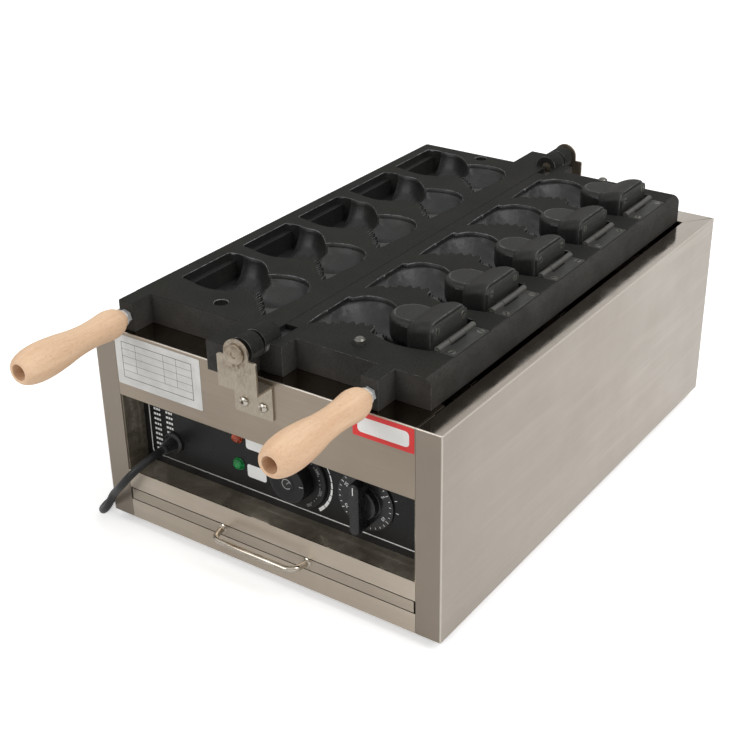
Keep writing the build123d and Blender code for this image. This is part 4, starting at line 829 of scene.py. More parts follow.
def needles(line, pitch, height, lean):
    """Pointed teeth along a line, each a little different, that lean back along it."""
    out = []
    for start, run, normal in stretches(line):
        count = max(1, round(run.length / pitch))
        for k in range(count):
            rise = height * (0.78 + 0.22 * math.sin(5.1 * k + start.x))
            out.append(tuple(start + run * (k / count)))
            out.append(tuple(start + run * ((k + 0.5) / count) + (normal - run.normalized() * lean) * rise))
    return out


def scallops(line, pitch, height):
    """Wide round teeth along a line."""
    out = []
    passed = 0.0
    for start, run, normal in stretches(line):
        steps = max(1, round(6 * run.length / pitch))
        for k in range(steps):
            rise = height * abs(math.sin(math.pi * (passed + run.length * k / steps) / pitch))
            out.append(tuple(start + run * (k / steps) + normal * rise))
        passed += run.length
    return out


def left_outline():
    """The left plate's cavity in plan, with its teeth and without them."""
    body = catmull([(26.5, -50.0), (25.5, -31.0), (23.0, -11.0), (24.4, 4.0), (28.6, 11.5), (33.5, 18.0),
                    (43.0, 23.6), (55.5, 25.2), (66.0, 23.0), (74.5, 19.6), (80.0, 14.8)], 5)
    head = catmull([(80.6, 15.2), (85.5, 21.0), (92.1, 27.4), (100.7, 34.0), (110.6, 37.4), (121.0, 36.8),
                    (130.0, 38.4), (139.0, 38.0), (144.6, 36.6)], 5)
    end = [(147.0, 34.6), (147.0, -33.0)]
    lower = catmull([(144.5, -35.4), (136.0, -36.2), (124.0, -39.0), (112.0, -40.4), (103.0, -39.8),
                     (95.0, -37.0), (88.0, -35.4), (84.8, -31.8), (86.2, -26.8)], 5)
    line = [(80.5, -25.2), (74.0, -26.0), (65.0, -28.6), (57.0, -34.4), (50.5, -40.2),
            (44.0, -47.2), (37.5, -53.2), (31.5, -58.4)]
    rest = body + head + end + lower
    tip = [(30.4, -59.0), (28.4, -57.0)]
    return anticlockwise(rest + needles(line, 5.6, 8.4, 0.65) + tip), anticlockwise(rest + line + tip)


def right_outline():
    """The right plate's cavity in plan, with its teeth and without them."""
    inner = [(15.2, -51.3), (14.6, -40.0), (13.4, -18.6), (14.2, -17.6), (13.9, 15.4), (14.6, 16.2)]
    body = catmull([(19.0, 16.1), (21.5, 20.5), (26.0, 25.4), (35.4, 29.4), (48.0, 29.6), (58.0, 25.2),
                    (66.0, 19.4), (71.6, 14.6)], 5)
    head = catmull([(72.4, 14.8), (78.0, 21.8), (86.0, 29.8), (96.0, 35.0), (108.0, 36.6), (122.0, 36.4)], 5)
    end = [(136.5, 36.0), (136.5, -36.0)]
    lower = catmull([(126.0, -38.6), (114.0, -41.0), (100.0, -41.4), (86.0, -38.4), (76.0, -35.2),
                     (72.2, -32.4)], 5)
    line = [(70.8, -25.4), (57.0, -27.6), (44.0, -31.6), (37.0, -39.4), (27.0, -45.2)]
    rest = inner + body + head + end + lower
    return anticlockwise(rest + scallops(line, 8.6, 6.2)), anticlockwise(rest + line)


def floor_places(foot, hollow, plain):
    """Places inside a cavity's foot: rings along its wall, lines at its steps and a grid."""
    places = []
    for inset in RING_INSETS:
        ring = offset_outline(evenly(plain, RING_STEP), inset)
        places += [p for p in ring if abs(wall_distance(p, plain) - inset) < 0.12 * inset]
    steps = (SHELF_U - 1.5, SHELF_U - 0.7, SHELF_U, hollow[3] - 0.4, hollow[3] + 0.4)
    lines = [(u, RING_STEP * k) for u in steps for k in range(-STEP_REACH, STEP_REACH + 1)]
    places += [p for p in lines if wall_distance(p, plain) > RING_INSETS[0]]
    low_u, low_v = (min(p[axis] for p in foot) for axis in (0, 1))
    high_u, high_v = (max(p[axis] for p in foot) for axis in (0, 1))
    for i in range(math.ceil((high_u - low_u) / CAVITY_GRID)):
        u = low_u + i * CAVITY_GRID
        if min(abs(u - step) for step in steps) <= 0.7:
            continue
        for j in range(math.ceil((high_v - low_v) / CAVITY_GRID)):
            v = low_v + j * CAVITY_GRID
            if wall_distance((u, v), plain) > RING_INSETS[-1] + 0.6 * CAVITY_GRID:
                places.append((u, v))
    ring = [Vector(p) for p in foot]
    return [Vector(p) for p in places if min((Vector(p) - q).length for q in ring) > 0.45]


def soften_floor(verts, faces, hollow, plain):
    """Evens out the bottoms of the bowls; their walls, the slot and the crease between them stay."""
    beside = {}
    for face in faces:
        for a in face:
            beside.setdefault(a, set()).update(face)
    free = []
    for index in beside:
        u, v = verts[index][:2]
        if wall_distance((u, v), plain) > RING_INSETS[-1] and u < hollow[3] - 2.5:
            if cavity_depth(u, v, hollow, plain)[1] > CREASE:
                free.append(index)
    for _ in range(SMOOTH_ROUNDS):
        heights = {i: sum(verts[j][2] for j in beside[i]) / len(beside[i]) for i in free}
        for i, height in heights.items():
            verts[i] = (*verts[i][:2], height)


def cavity_shell(outline, plain, hollow):
    """The closed tool that cuts one cavity: straight walls with a small lip, and a floor with bowls."""
    lip = offset_outline(outline, -LIP)
    foot = offset_outline(outline, WALL_DRAFT)
    count = len(outline)
    loop = [(i, (i + 1) % count) for i in range(count)]
    inside = [Vector(p) for p in foot] + floor_places(foot, hollow, plain)
    floor_points, _, floor_faces, origins, *_ = delaunay_2d_cdt(inside, loop, [tuple(range(count))], 1, 1e-4)
    verts = [(x, y, 1.0) for x, y in lip]
    verts += [(x, y, 0.0) for x, y in lip]
    verts += [(x, y, -LIP) for x, y in outline]
    verts += [(x, y, -cavity_depth(x, y, hollow, plain)[0]) for x, y in foot]
    place = {}
    for index, came in enumerate(origins):
        source = [i for i in came if i < count]
        place[index] = 3 * count + source[0] if source else len(verts)
        if not source:
            x, y = floor_points[index]
            verts.append((x, y, -cavity_depth(x, y, hollow, plain)[0]))
    floor = [tuple(place[i] for i in face) for face in floor_faces]
    soften_floor(verts, floor, hollow, plain)
    faces = [tuple(range(count))] + [face[::-1] for face in floor]
    for a in (0, count, 2 * count):
        faces += [(a + count + k, a + count + n, a + n, a + k) for k, n in loop]
    return verts, faces


# Mould plates

KNUCKLE_R = 12.5
CLEAR = 0.7
PIN_R = 6.0
OUTER_SPAN = (-14.0, 2.5)
MIDDLE_SPAN = (5.0, 27.0)
INNER_SPAN = (28.0, 48.0)
EDGE_R = 8.0
RIM_R = 1.1
LUG_HALF = 8.5
BOLT_BORE = 4.05
LOCATOR_X = 78.0
LOCATOR_Y = (FRONT + 52.0, BACK - 40.0)
LEAF_SCREW_U = 153.0
LEAF_SCREW_V = 24.0
PLATES = {
    "left": {"side": -1, "lug": 40.0, "lug_front": OUTER_SPAN[0], "outlines": left_outline,
             "hollow": LEFT_HOLLOW, "rooms": (MIDDLE_SPAN,), "knuckles": OUTER_SPAN},
    "right": {"side": 1, "lug": 25.0, "lug_front": 10.0, "outlines": right_outline,
              "hollow": RIGHT_HOLLOW, "rooms": (OUTER_SPAN, INNER_SPAN), "knuckles": MIDDLE_SPAN},
}


def at_both_ends(low, high):
    """A stretch of the hinge at the front and its mirror at the back."""
    return ((FRONT + low, FRONT + high), (BACK - high, BACK - low))


def hinge_rods(low, high, radius, segments):
    """Rods about the hinge line at the front and at the back."""
    return [rod_shell((0, y0, AXIS_Z), INWARD, y1 - y0, radius, segments)
            for y0, y1 in at_both_ends(low, high)]


def barrels(span):
    """Hinge barrels with softened ends, at the front and at the back."""
    soft, little = 0.8, 0.24
    shells = []
    for y0, y1 in at_both_ends(*span):
        start = [(0, 0), (0, KNUCKLE_R - soft), (little, KNUCKLE_R - little), (soft, KNUCKLE_R)]
        profile = start + [(y1 - y0 - along, radius) for along, radius in start[::-1]]
        shells.append(lathe_shell(profile, (0, y0, AXIS_Z), INWARD, 72))
    return shells


def plate_slab(name, side, lug, lug_front, handle_x):
    """The slab of a plate in plan, with its lugs, rounded along its top."""
    near, far, knee = side * 0.25, side * PLATE_OUT, side * lug
    grip_in, grip_out = handle_x - side * LUG_HALF, handle_x + side * LUG_HALF
    outline = anticlockwise([
        (near, FRONT + lug_front), (knee, FRONT + lug_front), (knee, PLATE_FRONT), (grip_in, PLATE_FRONT),
        (grip_in, LUG_FRONT), (grip_out, LUG_FRONT), (grip_out, PLATE_FRONT), (far, PLATE_FRONT),
        (far, PLATE_BACK), (knee, PLATE_BACK), (knee, BACK - lug_front), (near, BACK - lug_front),
    ])
    piece = mesh_piece(name, *stack_shell([(outline, PLATE_LOW), (outline, PART_Z)]))
    bm = bmesh.new()
    bm.from_mesh(piece.data)

    def on_line(edge, axis, place):
        return all(abs(v.co[axis] - place * MM) < 1e-6 for v in edge.verts)

    def rounded(edges, radius, segments, clamp):
        bmesh.ops.bevel(bm, geom=edges, offset=radius * MM, segments=segments, profile=0.5, affect="EDGES",
                        clamp_overlap=clamp)

    outer = [edge for edge in bm.edges if on_line(edge, 2, PART_Z) and on_line(edge, 0, far)]
    rounded(outer, EDGE_R, 9, False)
    bm.normal_update()
    small = []
    for edge in bm.edges:
        upright = abs(edge.verts[0].co.z - edge.verts[1].co.z) > 0.01
        convex = len(edge.link_faces) == 2 and edge.calc_face_angle_signed(0.0) > 0.6
        if convex and (on_line(edge, 2, PART_Z) or upright and not on_line(edge, 0, near)):
            small.append(edge)
    rounded(small, RIM_R, 2, True)
    bm.to_mesh(piece.data)
    bm.free()
    return piece


def make_plate(word, side, lug, lug_front, outlines, hollow, rooms, knuckles):
    """One mould plate with its five cavities, lugs, barrels and bores."""
    handle_x = HANDLE_X[word]
    plate = plate_slab(f"{word}_mould_casting", side, lug, lug_front, handle_x)
    cavity = cavity_shell(*outlines(), hollow)
    holes = [moved(cavity, 0.0, row, PART_Z, side) for row in ROW_Y]
    holes.append(rod_shell((handle_x, LUG_FRONT - 1, HANDLE_Z), INWARD, 19.0, BOLT_BORE))
    for y in LOCATOR_Y:
        if word == "left":
            hole = [(0, 0), (0, 6.3), (0.4, 6.6), (7.3, 6.6), (8.0, 7.3), (9.0, 7.3), (9.0, 0)]
            holes.append(lathe_shell(hole, (-LOCATOR_X, y, PART_Z - 8.0), UPWARD, 40))
        else:
            holes.append(rod_shell((LOCATOR_X, y, PART_Z - 13.0), UPWARD, 14.0, BOLT_BORE))
    cut(plate, holes)
    spaces = []
    for low, high in rooms:
        spaces += hinge_rods(low - CLEAR, high + CLEAR, KNUCKLE_R + CLEAR, 72)
    if word == "right":
        for row in CORE_Y:
            spaces.append(box_shell((135.0, row - 30.5, PART_Z - 2.5), (159.5, row + 30.5, PART_Z + 1)))
            spaces += [rod_shell((LEAF_SCREW_U, row + v, PART_Z - 10.0), UPWARD, 6.0, 2.0, 24)
                       for v in (-LEAF_SCREW_V, LEAF_SCREW_V)]
    cut(plate, spaces)
    cut(plate, barrels(knuckles), "UNION")
    if word == "left":
        tongue = joined("tongue", barrels(INNER_SPAN))
        cut(tongue, [box_shell((-14, y0 - 1, PART_Z - 4.5), (14, y1 + 1, PART_Z + 14))
                     for y0, y1 in at_both_ends(*INNER_SPAN)])
        cut(plate, tongue, "UNION")
    cut(plate, hinge_rods(OUTER_SPAN[0] - 1, MIDDLE_SPAN[1] + 0.5, PIN_R + 0.05, 48))
    even_normals(plate, 38.0)
    finish_piece(plate, f"{word}_plate", "cast_plate", PLATE_CAST, f"mould_plate_{word}")


for word, values in PLATES.items():
    make_plate(word, **values)


# Hinged cores

CORE_OUT = 134.0
NOSE_R = 20.5
NOSE_TOP = 14.0
NOSE_CENTRE = 97.0
NOSE_END = 116.0
CORE_SCREW_V = 21.0
CORE_SCREW_W = 13.5
# Sections across the block: (distance from the hinge line, half width, bottom, top)
BLOCK_STATIONS = [
    (104.2, 9.0, -9.0, 8.0), (104.5, 14.5, -13.0, 11.5), (105.4, 20.5, -16.4, 13.6),
    (107.0, 24.6, -18.2, 14.9), (109.5, 27.6, -19.0, 16.2), (113.0, 29.6, -19.0, 17.8),
    (117.0, 30.5, -19.0, 19.4), (121.0, 30.8, -19.0, 20.7), (125.5, 30.5, -19.0, 21.8),
    (130.0, 29.6, -19.0, 22.3), (133.2, 28.6, -19.0, 22.4), (134.0, 27.8, -18.4, 21.8),
]
# The rounding of the block's top and of its bottom: radius and steps
TOP_ROUND = (9.5, 7)
LOW_ROUND = (6.0, 5)
FULL_HALF = 22.0


def nose_outline(inset):
    """The core's nose in plan: a round end, then straight sides."""
    radius = NOSE_R - inset
    return [(NOSE_END, radius), *arc((NOSE_CENTRE, 0.0), radius, 90, 270, 28), (NOSE_END, -radius)]


def block_section(half, low, high):
    """The block's section, narrower and softer towards the nose."""
    section = []
    for side, up, start, (radius, steps) in ((1, 1, 0, TOP_ROUND), (-1, 1, 90, TOP_ROUND),
                                             (-1, -1, 180, LOW_ROUND), (1, -1, 270, LOW_ROUND)):
        radius *= min(1.0, half / FULL_HALF)
        centre = (side * (half - radius), high - radius if up > 0 else low + radius)
        section += arc(centre, radius, start, start + 90, steps)
    return section


def make_core(number, row):
    """One core: a flat-topped nose that runs into a taller block."""
    block = ring_shell([[(u, v, w) for v, w in block_section(half, low, high)]
                        for u, half, low, high in BLOCK_STATIONS])
    core = joined(f"egg_core_{number}", [moved(block, 0.0, row, PART_Z)])
    nose = pillow_shell(nose_outline, -NOSE_TOP, NOSE_TOP, 9.0, 5.5, 6)
    cut(core, [moved(nose, 0.0, row, PART_Z)], "UNION")
    cut(core, [rod_shell((CORE_OUT + 1, row + v, PART_Z + CORE_SCREW_W), (-1, 0, 0), 9.5, 2.0, 20)
               for v in (-CORE_SCREW_V, CORE_SCREW_V)])
    even_normals(core, 50.0)
    finish_piece(core, f"core_{number}", "cast_plate", CORE_CAST, f"mould_core_{number}")


def slotted_head(seat, outward, slot_angle):
    """A countersunk screw with a slot across its head."""
    out = Vector(outward)
    profile = [(0, 0), (0, 3.45), (-0.15, 3.6), (-1.8, 1.9), (-8.0, 1.9), (-9.0, 1.0), (-9.0, 0)]
    screw = joined("screw", [lathe_shell(profile, seat, out, 36)])
    across = out.orthogonal().normalized()
    across.rotate(Matrix.Rotation(slot_angle, 3, out))
    side = out.cross(across)
    cut(screw, [ring_shell([
        [Vector(seat) + out * depth + across * a + side * b
         for a, b in ((-5.0, -0.55), (5.0, -0.55), (5.0, 0.55), (-5.0, 0.55))]
        for depth in (-1.1, 1.0)
    ])])
    return screw


leaf_heads = []
for number, row in enumerate(CORE_Y, start=1):
    make_core(number, row)
    turn = 0.7 + 1.1 * number
    heads = [slotted_head((CORE_OUT + 2.5, row + v, PART_Z + CORE_SCREW_W), (1, 0, 0), turn + v * 0.05)
             for v in (-CORE_SCREW_V, CORE_SCREW_V)]
    finish_piece(merged(f"slotted_core_screws_{number}", heads), f"core_{number}", "leaf_steel", SCREW_DARK,
                 f"core_screws_{number}")
    leaf_heads += [slotted_head((LEAF_SCREW_U, row + v, PART_Z), UPWARD, 0.4 + 0.9 * number + v * 0.03)
                   for v in (-LEAF_SCREW_V, LEAF_SCREW_V)]
finish_piece(merged("slotted_leaf_screws", leaf_heads), "right_plate", "leaf_steel", SCREW_DARK,
             "leaf_screws")


def make_fixed_leaves():
    """The hinge leaves let into the right plate, each with two rolled knuckles."""
    plates, holes, knuckles = [], [], []
    sink = [(0, 0), (0, 2.0), (4, 2.0), (5.6, 3.7), (6.5, 3.7), (6.5, 0)]
    for row in CORE_Y:
        outline = rounded_rectangle(145.7, 159.0, row - 30.0, row + 30.0, 1.2, 3)
        plates.append(stack_shell([(outline, PART_Z - 2.5), (outline, PART_Z - 0.3),
                                   (offset_outline(outline, 0.3), PART_Z)]))
        holes += [lathe_shell(sink, (LEAF_SCREW_U, row + v, PART_Z - 5.6), UPWARD, 32)
                  for v in (-LEAF_SCREW_V, LEAF_SCREW_V)]
        for v0, v1 in ((-30.0, -12.4), (12.4, 30.0)):
            length = v1 - v0
            ring = [(0, 1.6), (0, 2.9), (0.3, 3.2), (length - 0.3, 3.2), (length, 2.9), (length, 1.6)]
            knuckles.append(lathe_shell(ring, (141.5, row + v0, PART_Z + 1.0), INWARD, 32, closed=True))
            knuckles.append(box_shell((143.2, row + v0, PART_Z - 2.2), (146.0, row + v1, PART_Z - 0.4)))
    leaves = joined("hinge_leaves", plates)
    cut(leaves, holes)
    pieces = [leaves, joined("rolls", knuckles)]
    finish_piece(merged("fixed_hinge_leaves", pieces), "right_plate", "leaf_steel", FIXED_LEAF,
                 "fixed_leaves")


make_fixed_leaves()


# Handles and their fasteners

HANDLE_L = 127.5
HANDLE_GAP = 6.5
BOLT_SEAT = 28.0
GRIP_LINE = [
    (0.0, 7.6), (1.2, 8.6), (3.6, 10.0), (8.0, 12.4), (14.0, 13.7), (20.0, 14.0), (32.0, 12.9),
    (46.0, 12.3), (62.0, 13.2), (78.0, 15.4), (94.0, 16.9), (106.0, 17.0), (116.0, 15.8), (123.0, 13.6),
    (126.4, 11.4), (127.5, 9.6),
]


def make_handle(side, x):
    """A turned beech grip with its bores."""
    profile = [(0, 4.3), *catmull(GRIP_LINE, 5), (127.5, 8.2), (127.1, 7.6), (99.5, 7.6), (99.5, 4.3)]
    shell = lathe_shell(profile, (x, LUG_FRONT - HANDLE_GAP, HANDLE_Z), OUTWARD, 96, closed=True)
    finish_piece(joined(f"beech_grip_{side}", [shell], 50), f"{side}_plate", "beech", BEECH, f"handle_{side}")


def hexagon_shell(centre, radius, thick):
    """A hexagonal nut or head with chamfered corners."""
    rim = radius - 0.8
    profile = [(0, 0), (0, rim), (0.4, radius), (thick - 0.5, radius), (thick, rim), (thick, 0)]
    return lathe_shell(profile, centre, OUTWARD, 6)


def make_fasteners(side, x):
    """The bolt through a grip, with the nut and washer before the lug."""
    seat = LUG_FRONT - HANDLE_GAP - HANDLE_L + BOLT_SEAT
    end = LUG_FRONT + 17.0
    washer = [(0, 0), (0, 7.7), (0.3, 8.0), (1.3, 8.0), (1.6, 7.7), (1.6, 0)]
    shells = [
        hexagon_shell((x, LUG_FRONT, HANDLE_Z), 7.2, 4.7),
        lathe_shell(washer, (x, LUG_FRONT - 4.9, HANDLE_Z), OUTWARD, 48),
        hexagon_shell((x, seat, HANDLE_Z), 6.6, 5.0),
        rod_shell((x, end, HANDLE_Z), OUTWARD, end - seat, 4.0),
    ]
    finish_piece(joined(f"handle_bolt_{side}", shells, 28), f"{side}_plate", "zinc_plated", ZINC,
                 f"handle_fasteners_{side}")


for side, x in HANDLE_X.items():
    make_handle(side, x)
    make_fasteners(side, x)


# Hinge pins, bracket screws and feet

BRACKET_SCREW_X = 10.7
BRACKET_SCREW_Z = BASE + 181.5
FOOT_X = 153.0
FOOT_INSET = 42.0


def make_pins():
    """The two hinge pins with domed heads."""
    profile = [(-48.0, 0), (-48.0, 5.0), (-47.0, PIN_R), (0, PIN_R), (0, 9.2), (0.3, 9.5), (1.6, 9.5),
               (2.3, 8.9), (2.75, 7.0), (3.0, 4.0), (3.0, 3.2), (2.2, 2.8), (2.2, 0)]
    shells = [lathe_shell(profile, (0, face + out * 22.0, AXIS_Z), (0, out, 0), 56)
              for face, out in ((FRONT, -1), (BACK, 1))]
    finish_piece(joined("pins", shells), "root", "bright_hardware", PIN_STEEL, "hinge_pins")


def make_bracket_screws():
    """Button-head screws with a hexagon socket."""
    dome = [(-9.0, 0), (-9.0, 2.5), (0, 2.5), (0, 4.7), (0.25, 4.9), (0.8, 4.9)]
    dome += [(0.8 + 2.2 * math.sin(t), 4.9 * math.cos(t) ** 0.8) for t in (0.25, 0.5, 0.75, 1.0)]
    dome += [(3.0, 2.4), (3.0, 0)]
    socket = [(0.4, 0), (0.4, 2.3), (4.0, 2.3), (4.0, 0)]
    heads = []
    for face, out in ((FRONT, -1), (BACK, 1)):
        for x in (-BRACKET_SCREW_X, BRACKET_SCREW_X):
            seat = (x, face + out * 2.0, BRACKET_SCREW_Z)
            screw = joined("screw", [lathe_shell(dome, seat, (0, out, 0), 40)])
            cut(screw, [lathe_shell(socket, seat, (0, out, 0), 6)])
            heads.append(screw)
    finish_piece(merged("button_screws", heads), "root", "bright_hardware", BRIGHT, "bracket_screws")


def make_feet():
    """Tapered rubber feet with a rounded foot ring and a stud."""
    profile = [(0.0, 0), (0.0, 8.2), (0.4, 10.6), (1.6, 11.5), (9.6, 13.8), (10.2, 14.0), (11.2, 14.0),
               (11.2, 3.0), (19.0, 3.0), (19.0, 0)]
    shells = [lathe_shell(profile, (x, y, 0), UPWARD, 48)
              for x in (-FOOT_X, FOOT_X) for y in (FRONT + FOOT_INSET, BACK - FOOT_INSET)]
    finish_piece(joined("feet", shells), "root", "foot_rubber", RUBBER, "rubber_feet")


make_pins()
make_bracket_screws()
make_feet()


# Prints on the front

INK = 0.12


def ink_shape(outline, y, thick=INK):
    """A flat print in the X Z plane: its face stands thick before y."""
    shape = anticlockwise(outline)
    count = len(shape)
    faces = [tuple(range(count)), tuple(range(count, 2 * count))[::-1]]
    faces += [(k, count + k, count + (k + 1) % count, (k + 1) % count) for k in range(count)]
    return [(x, y, z) for x, z in shape] + [(x, y - thick, z) for x, z in shape], faces


def ink_box(x0, x1, z0, z1, y, thick=INK):
    """A straight-sided print."""
    return ink_shape([(x0, z0), (x1, z0), (x1, z1), (x0, z1)], y, thick)


def ink_bar(place, degrees, length, width, y, thick=INK):
    """A small bar turned by an angle."""
    along = Vector(polar((0.0, 0.0), 1.0, degrees))
    across = Vector((-along.y, along.x))
    outline = [tuple(Vector(place) + along * a * length / 2 + across * b * width / 2)
               for a, b in ((-1, -1), (1, -1), (1, 1), (-1, 1))]
    return ink_shape(outline, y, thick)


def tick(centre, radius, degrees, length, width, y, thick=INK):
    """A bar that points away from a dial's centre."""
    return ink_bar(polar(centre, radius, degrees), degrees, length, width, y, thick)


def numeral(text, centre, size, degrees, y):
    """A number as a thin mesh in the X Z plane."""
    curve = bpy.data.curves.new("numeral", "FONT")
    curve.body = text
    curve.size = size * MM
    curve.align_x = "CENTER"
    curve.align_y = "CENTER"
    curve.extrude = INK / 2 * MM
    curve.resolution_u = 3
    holder = linked("numeral", curve)
    mesh = evaluated_mesh(holder)
    bpy.data.objects.remove(holder)
    place = Matrix.Translation((centre[0] * MM, (y - INK / 2) * MM, centre[1] * MM))
    place = place @ Matrix.Rotation(-math.radians(degrees), 4, "Y") @ Matrix.Rotation(math.pi / 2, 4, "X")
    verts = [tuple(c / MM for c in place @ v.co) for v in mesh.vertices]
    return verts, [tuple(p.vertices) for p in mesh.polygons]


# Knobs, lamps and the panel's print

DIAL_Z = BASE + 99.6
KNOB_Y = PANEL_Y - 0.6
THERMOSTAT = (22.6, DIAL_Z)
TIMER = (98.5, DIAL_Z)
SPINDLE_R = 3.05


def spindle_bore(dial):
    """The bore behind a knob."""
    return rod_shell((dial[0], KNOB_Y + 1, dial[1]), OUTWARD, 15.0, SPINDLE_R)


def fluted(shell, centre, flutes=30, deep=0.45):
    """A turned knob's shell with shallow flutes around its grip."""
    verts = []
    for x, y, z in shell[0]:
        dx, dz = x - centre[0], z - centre[1]
        radius = math.hypot(dx, dz)
        scale = 1.0
        if 4.0 < KNOB_Y - y < 16.8 and radius > 19.0:
            scale -= deep * (0.5 + 0.5 * math.cos(math.atan2(dz, dx) * flutes)) / radius
        verts.append((centre[0] + dx * scale, y, centre[1] + dz * scale))
    return verts, shell[1]


def make_temperature_knob():
    """Skirt with a raised rim and a fluted, dished grip; marks and numbers on both."""
    profile = [(0, 0), (0, 32.6), (0.4, 33.0), (2.2, 33.0), (2.9, 32.4), (3.6, 26.0), (3.6, 22.2),
               (3.6, 20.8), (15.6, 20.4), (17.2, 19.6), (18.0, 17.8), (17.7, 15.5), (17.2, 11.0),
               (17.0, 8.2), (17.4, 7.8), (17.4, 0)]
    turned = lathe_shell(profile, (THERMOSTAT[0], KNOB_Y, DIAL_Z), OUTWARD, 120)
    knob = joined("temperature_dial", [fluted(turned, THERMOSTAT)], 40)
    cut(knob, [spindle_bore(THERMOSTAT)])
    finish_piece(knob, "temperature_knob", "black_plastic", KNOB_BLACK, "temperature_knob")
    skirt_y, face_y = KNOB_Y - 3.1, KNOB_Y - 17.4
    prints = [tick(THERMOSTAT, 27.6, 210 - 9 * k, 1.0, 0.9, skirt_y, 0.5) for k in range(31) if k % 5]
    for k in range(7):
        degrees = 210 - 45 * k
        place = polar(THERMOSTAT, 28.6, degrees)
        prints.append(numeral(str(50 * k), place, 4.4, degrees - 90, skirt_y - 0.3))
    prints.append(ink_shape(ring_sector(THERMOSTAT, 4.6, 5.4, 20, 320), face_y))
    prints.append(tick(THERMOSTAT, 2.6, 45, 5.0, 0.7, face_y))
    prints.append(tick(THERMOSTAT, 17.2, 8, 4.6, 0.9, face_y - 0.3, 0.28))
    finish_piece(joined("temperature_marks", prints), "temperature_knob", "black_plastic", GREY_INK)


def bar_outline(inset):
    """The timer's grip in plan: a long bar with round ends."""
    half_w, half_l = 5.5 - inset, 27.0 - inset
    ends = half_l - half_w
    return arc((0.0, ends), half_w, 0, 180, 12) + arc((0.0, -ends), half_w, 180, 360, 12)


def make_timer_knob():
    """Round skirt, hub and a long upright bar with a rounded front; marks and minutes on the skirt."""
    skirt = [(0, 0), (0, 29.7), (0.3, 30.0), (1.1, 30.0), (1.6, 29.2), (1.6, 17.2), (2.2, 15.9), (8.0, 15.4),
             (9.0, 14.2), (9.0, 0)]
    knob = joined("timer_dial", [lathe_shell(skirt, (TIMER[0], KNOB_Y, DIAL_Z), OUTWARD, 96)], 40)
    verts, faces = pillow_shell(bar_outline, 0.0, 20.0, 0.3, 2.4, 5)
    cut(knob, [([(TIMER[0] + x, KNOB_Y - z, DIAL_Z + y) for x, y, z in verts], faces)], "UNION")
    cut(knob, [spindle_bore(TIMER)])
    even_normals(knob, 40)
    finish_piece(knob, "timer_knob", "black_plastic", DIAL_GREY, "timer_knob")
    y = KNOB_Y - 1.6
    prints = [tick(TIMER, 27.4, 90 - 12 * k, 2.0 if k % 5 else 3.4, 0.55, y) for k in range(30)]
    prints += [numeral(str(5 * k), polar(TIMER, 22.6, 90 - 60 * k), 5.0, -60 * k, y) for k in range(6)]
    prints.append(tick(TIMER, 20.0, 90, 8.0, 0.8, KNOB_Y - 20.0))
    finish_piece(joined("timer_marks", prints), "timer_knob", "black_plastic", WHITE_INK)


def make_lamps():
    """Two lamp lenses with flat facets, each in a thin rim."""
    collar = [(-18.0, 0), (-18.0, 4.6), (0, 4.6), (0, 6.6), (0.6, 6.6), (1.2, 6.1), (1.2, 0)]
    facets = [(1.2, 0), (1.2, 5.8), (2.4, 5.6), (4.2, 4.0), (5.0, 1.6), (5.0, 0)]
    for name, z, material, nodes in (("green_lamp", 88.2, GREEN_LENS, ["signal_lamps"]),
                                     ("orange_lamp", 118.0, ORANGE_LENS, [])):
        centre = (-48.4, PANEL_Y, BASE + z)
        shells = [lathe_shell(collar, centre, OUTWARD, 40), lathe_shell(facets, centre, OUTWARD, 10)]
        finish_piece(joined(name, shells, 14), "root", "lamp_lens", material, *nodes)


def panel_print():
    """White border, two columns of small marks, two bare tags and a tapering arc."""
    left, right, low, top = -161.0, PANEL_X - 0.5, BASE + 63.5, BASE + 142.0
    width, corner = 1.1, 5.0
    shells = [
        ink_box(left, left + width, low + corner, top, PANEL_Y),
        ink_box(left + corner, right, low, low + width, PANEL_Y),
        ink_shape(ring_sector((left + corner, low + corner), corner - width, corner, 180, 270, 8), PANEL_Y),
    ]
    for x, first in ((-150.3, 0), (-134.7, 3)):
        for k in range(first, 9):
            for place, length in ((-2.9, 2.6), (0.3, 2.2), (3.2, 2.0)):
                shells.append(ink_bar((x + place, BASE + 71.4 + 5.6 * k), 0.0, length, 2.4, PANEL_Y))
    for z in (BASE + 77.6, BASE + 108.6):
        shells.append(ink_shape(rounded_rectangle(-38.5, -15.8, z, z + 14.0, 2.6), PANEL_Y))
    edges = [34, 20, 8, -3, -14, -26, -39, -53]
    for k, (start, end) in enumerate(zip(edges, edges[1:])):
        thick = 0.8 + 0.42 * k
        stretch = ring_sector(THERMOSTAT, 39.0 - thick, 39.0, start - 0.7, end + 0.7, 8)
        shells.append(ink_shape(stretch, PANEL_Y))
    shells += [tick(TIMER, 33.4, 128 - 22 * k, 3.0, 0.6, PANEL_Y) for k in (0, 1, 4, 5, 6)]
    finish_piece(joined("panel_print", shells), "root", "panel_black", WHITE_INK)


make_temperature_knob()
make_timer_knob()
make_lamps()
panel_print()


# Front labels

LABEL_THICK = 0.25
RULE_THICK = 0.05
PLATE_AREA = (-168.0, -63.0, BASE + 154.0, BASE + 207.0)
BADGE_AREA = (106.0, 168.0, BASE + 185.0, BASE + 209.0)


def make_label(name, shapes, material, *nodes):
    """A print or a plate of the front labels."""
    finish_piece(joined(name, shapes), "root", "label_foil", material, *nodes)


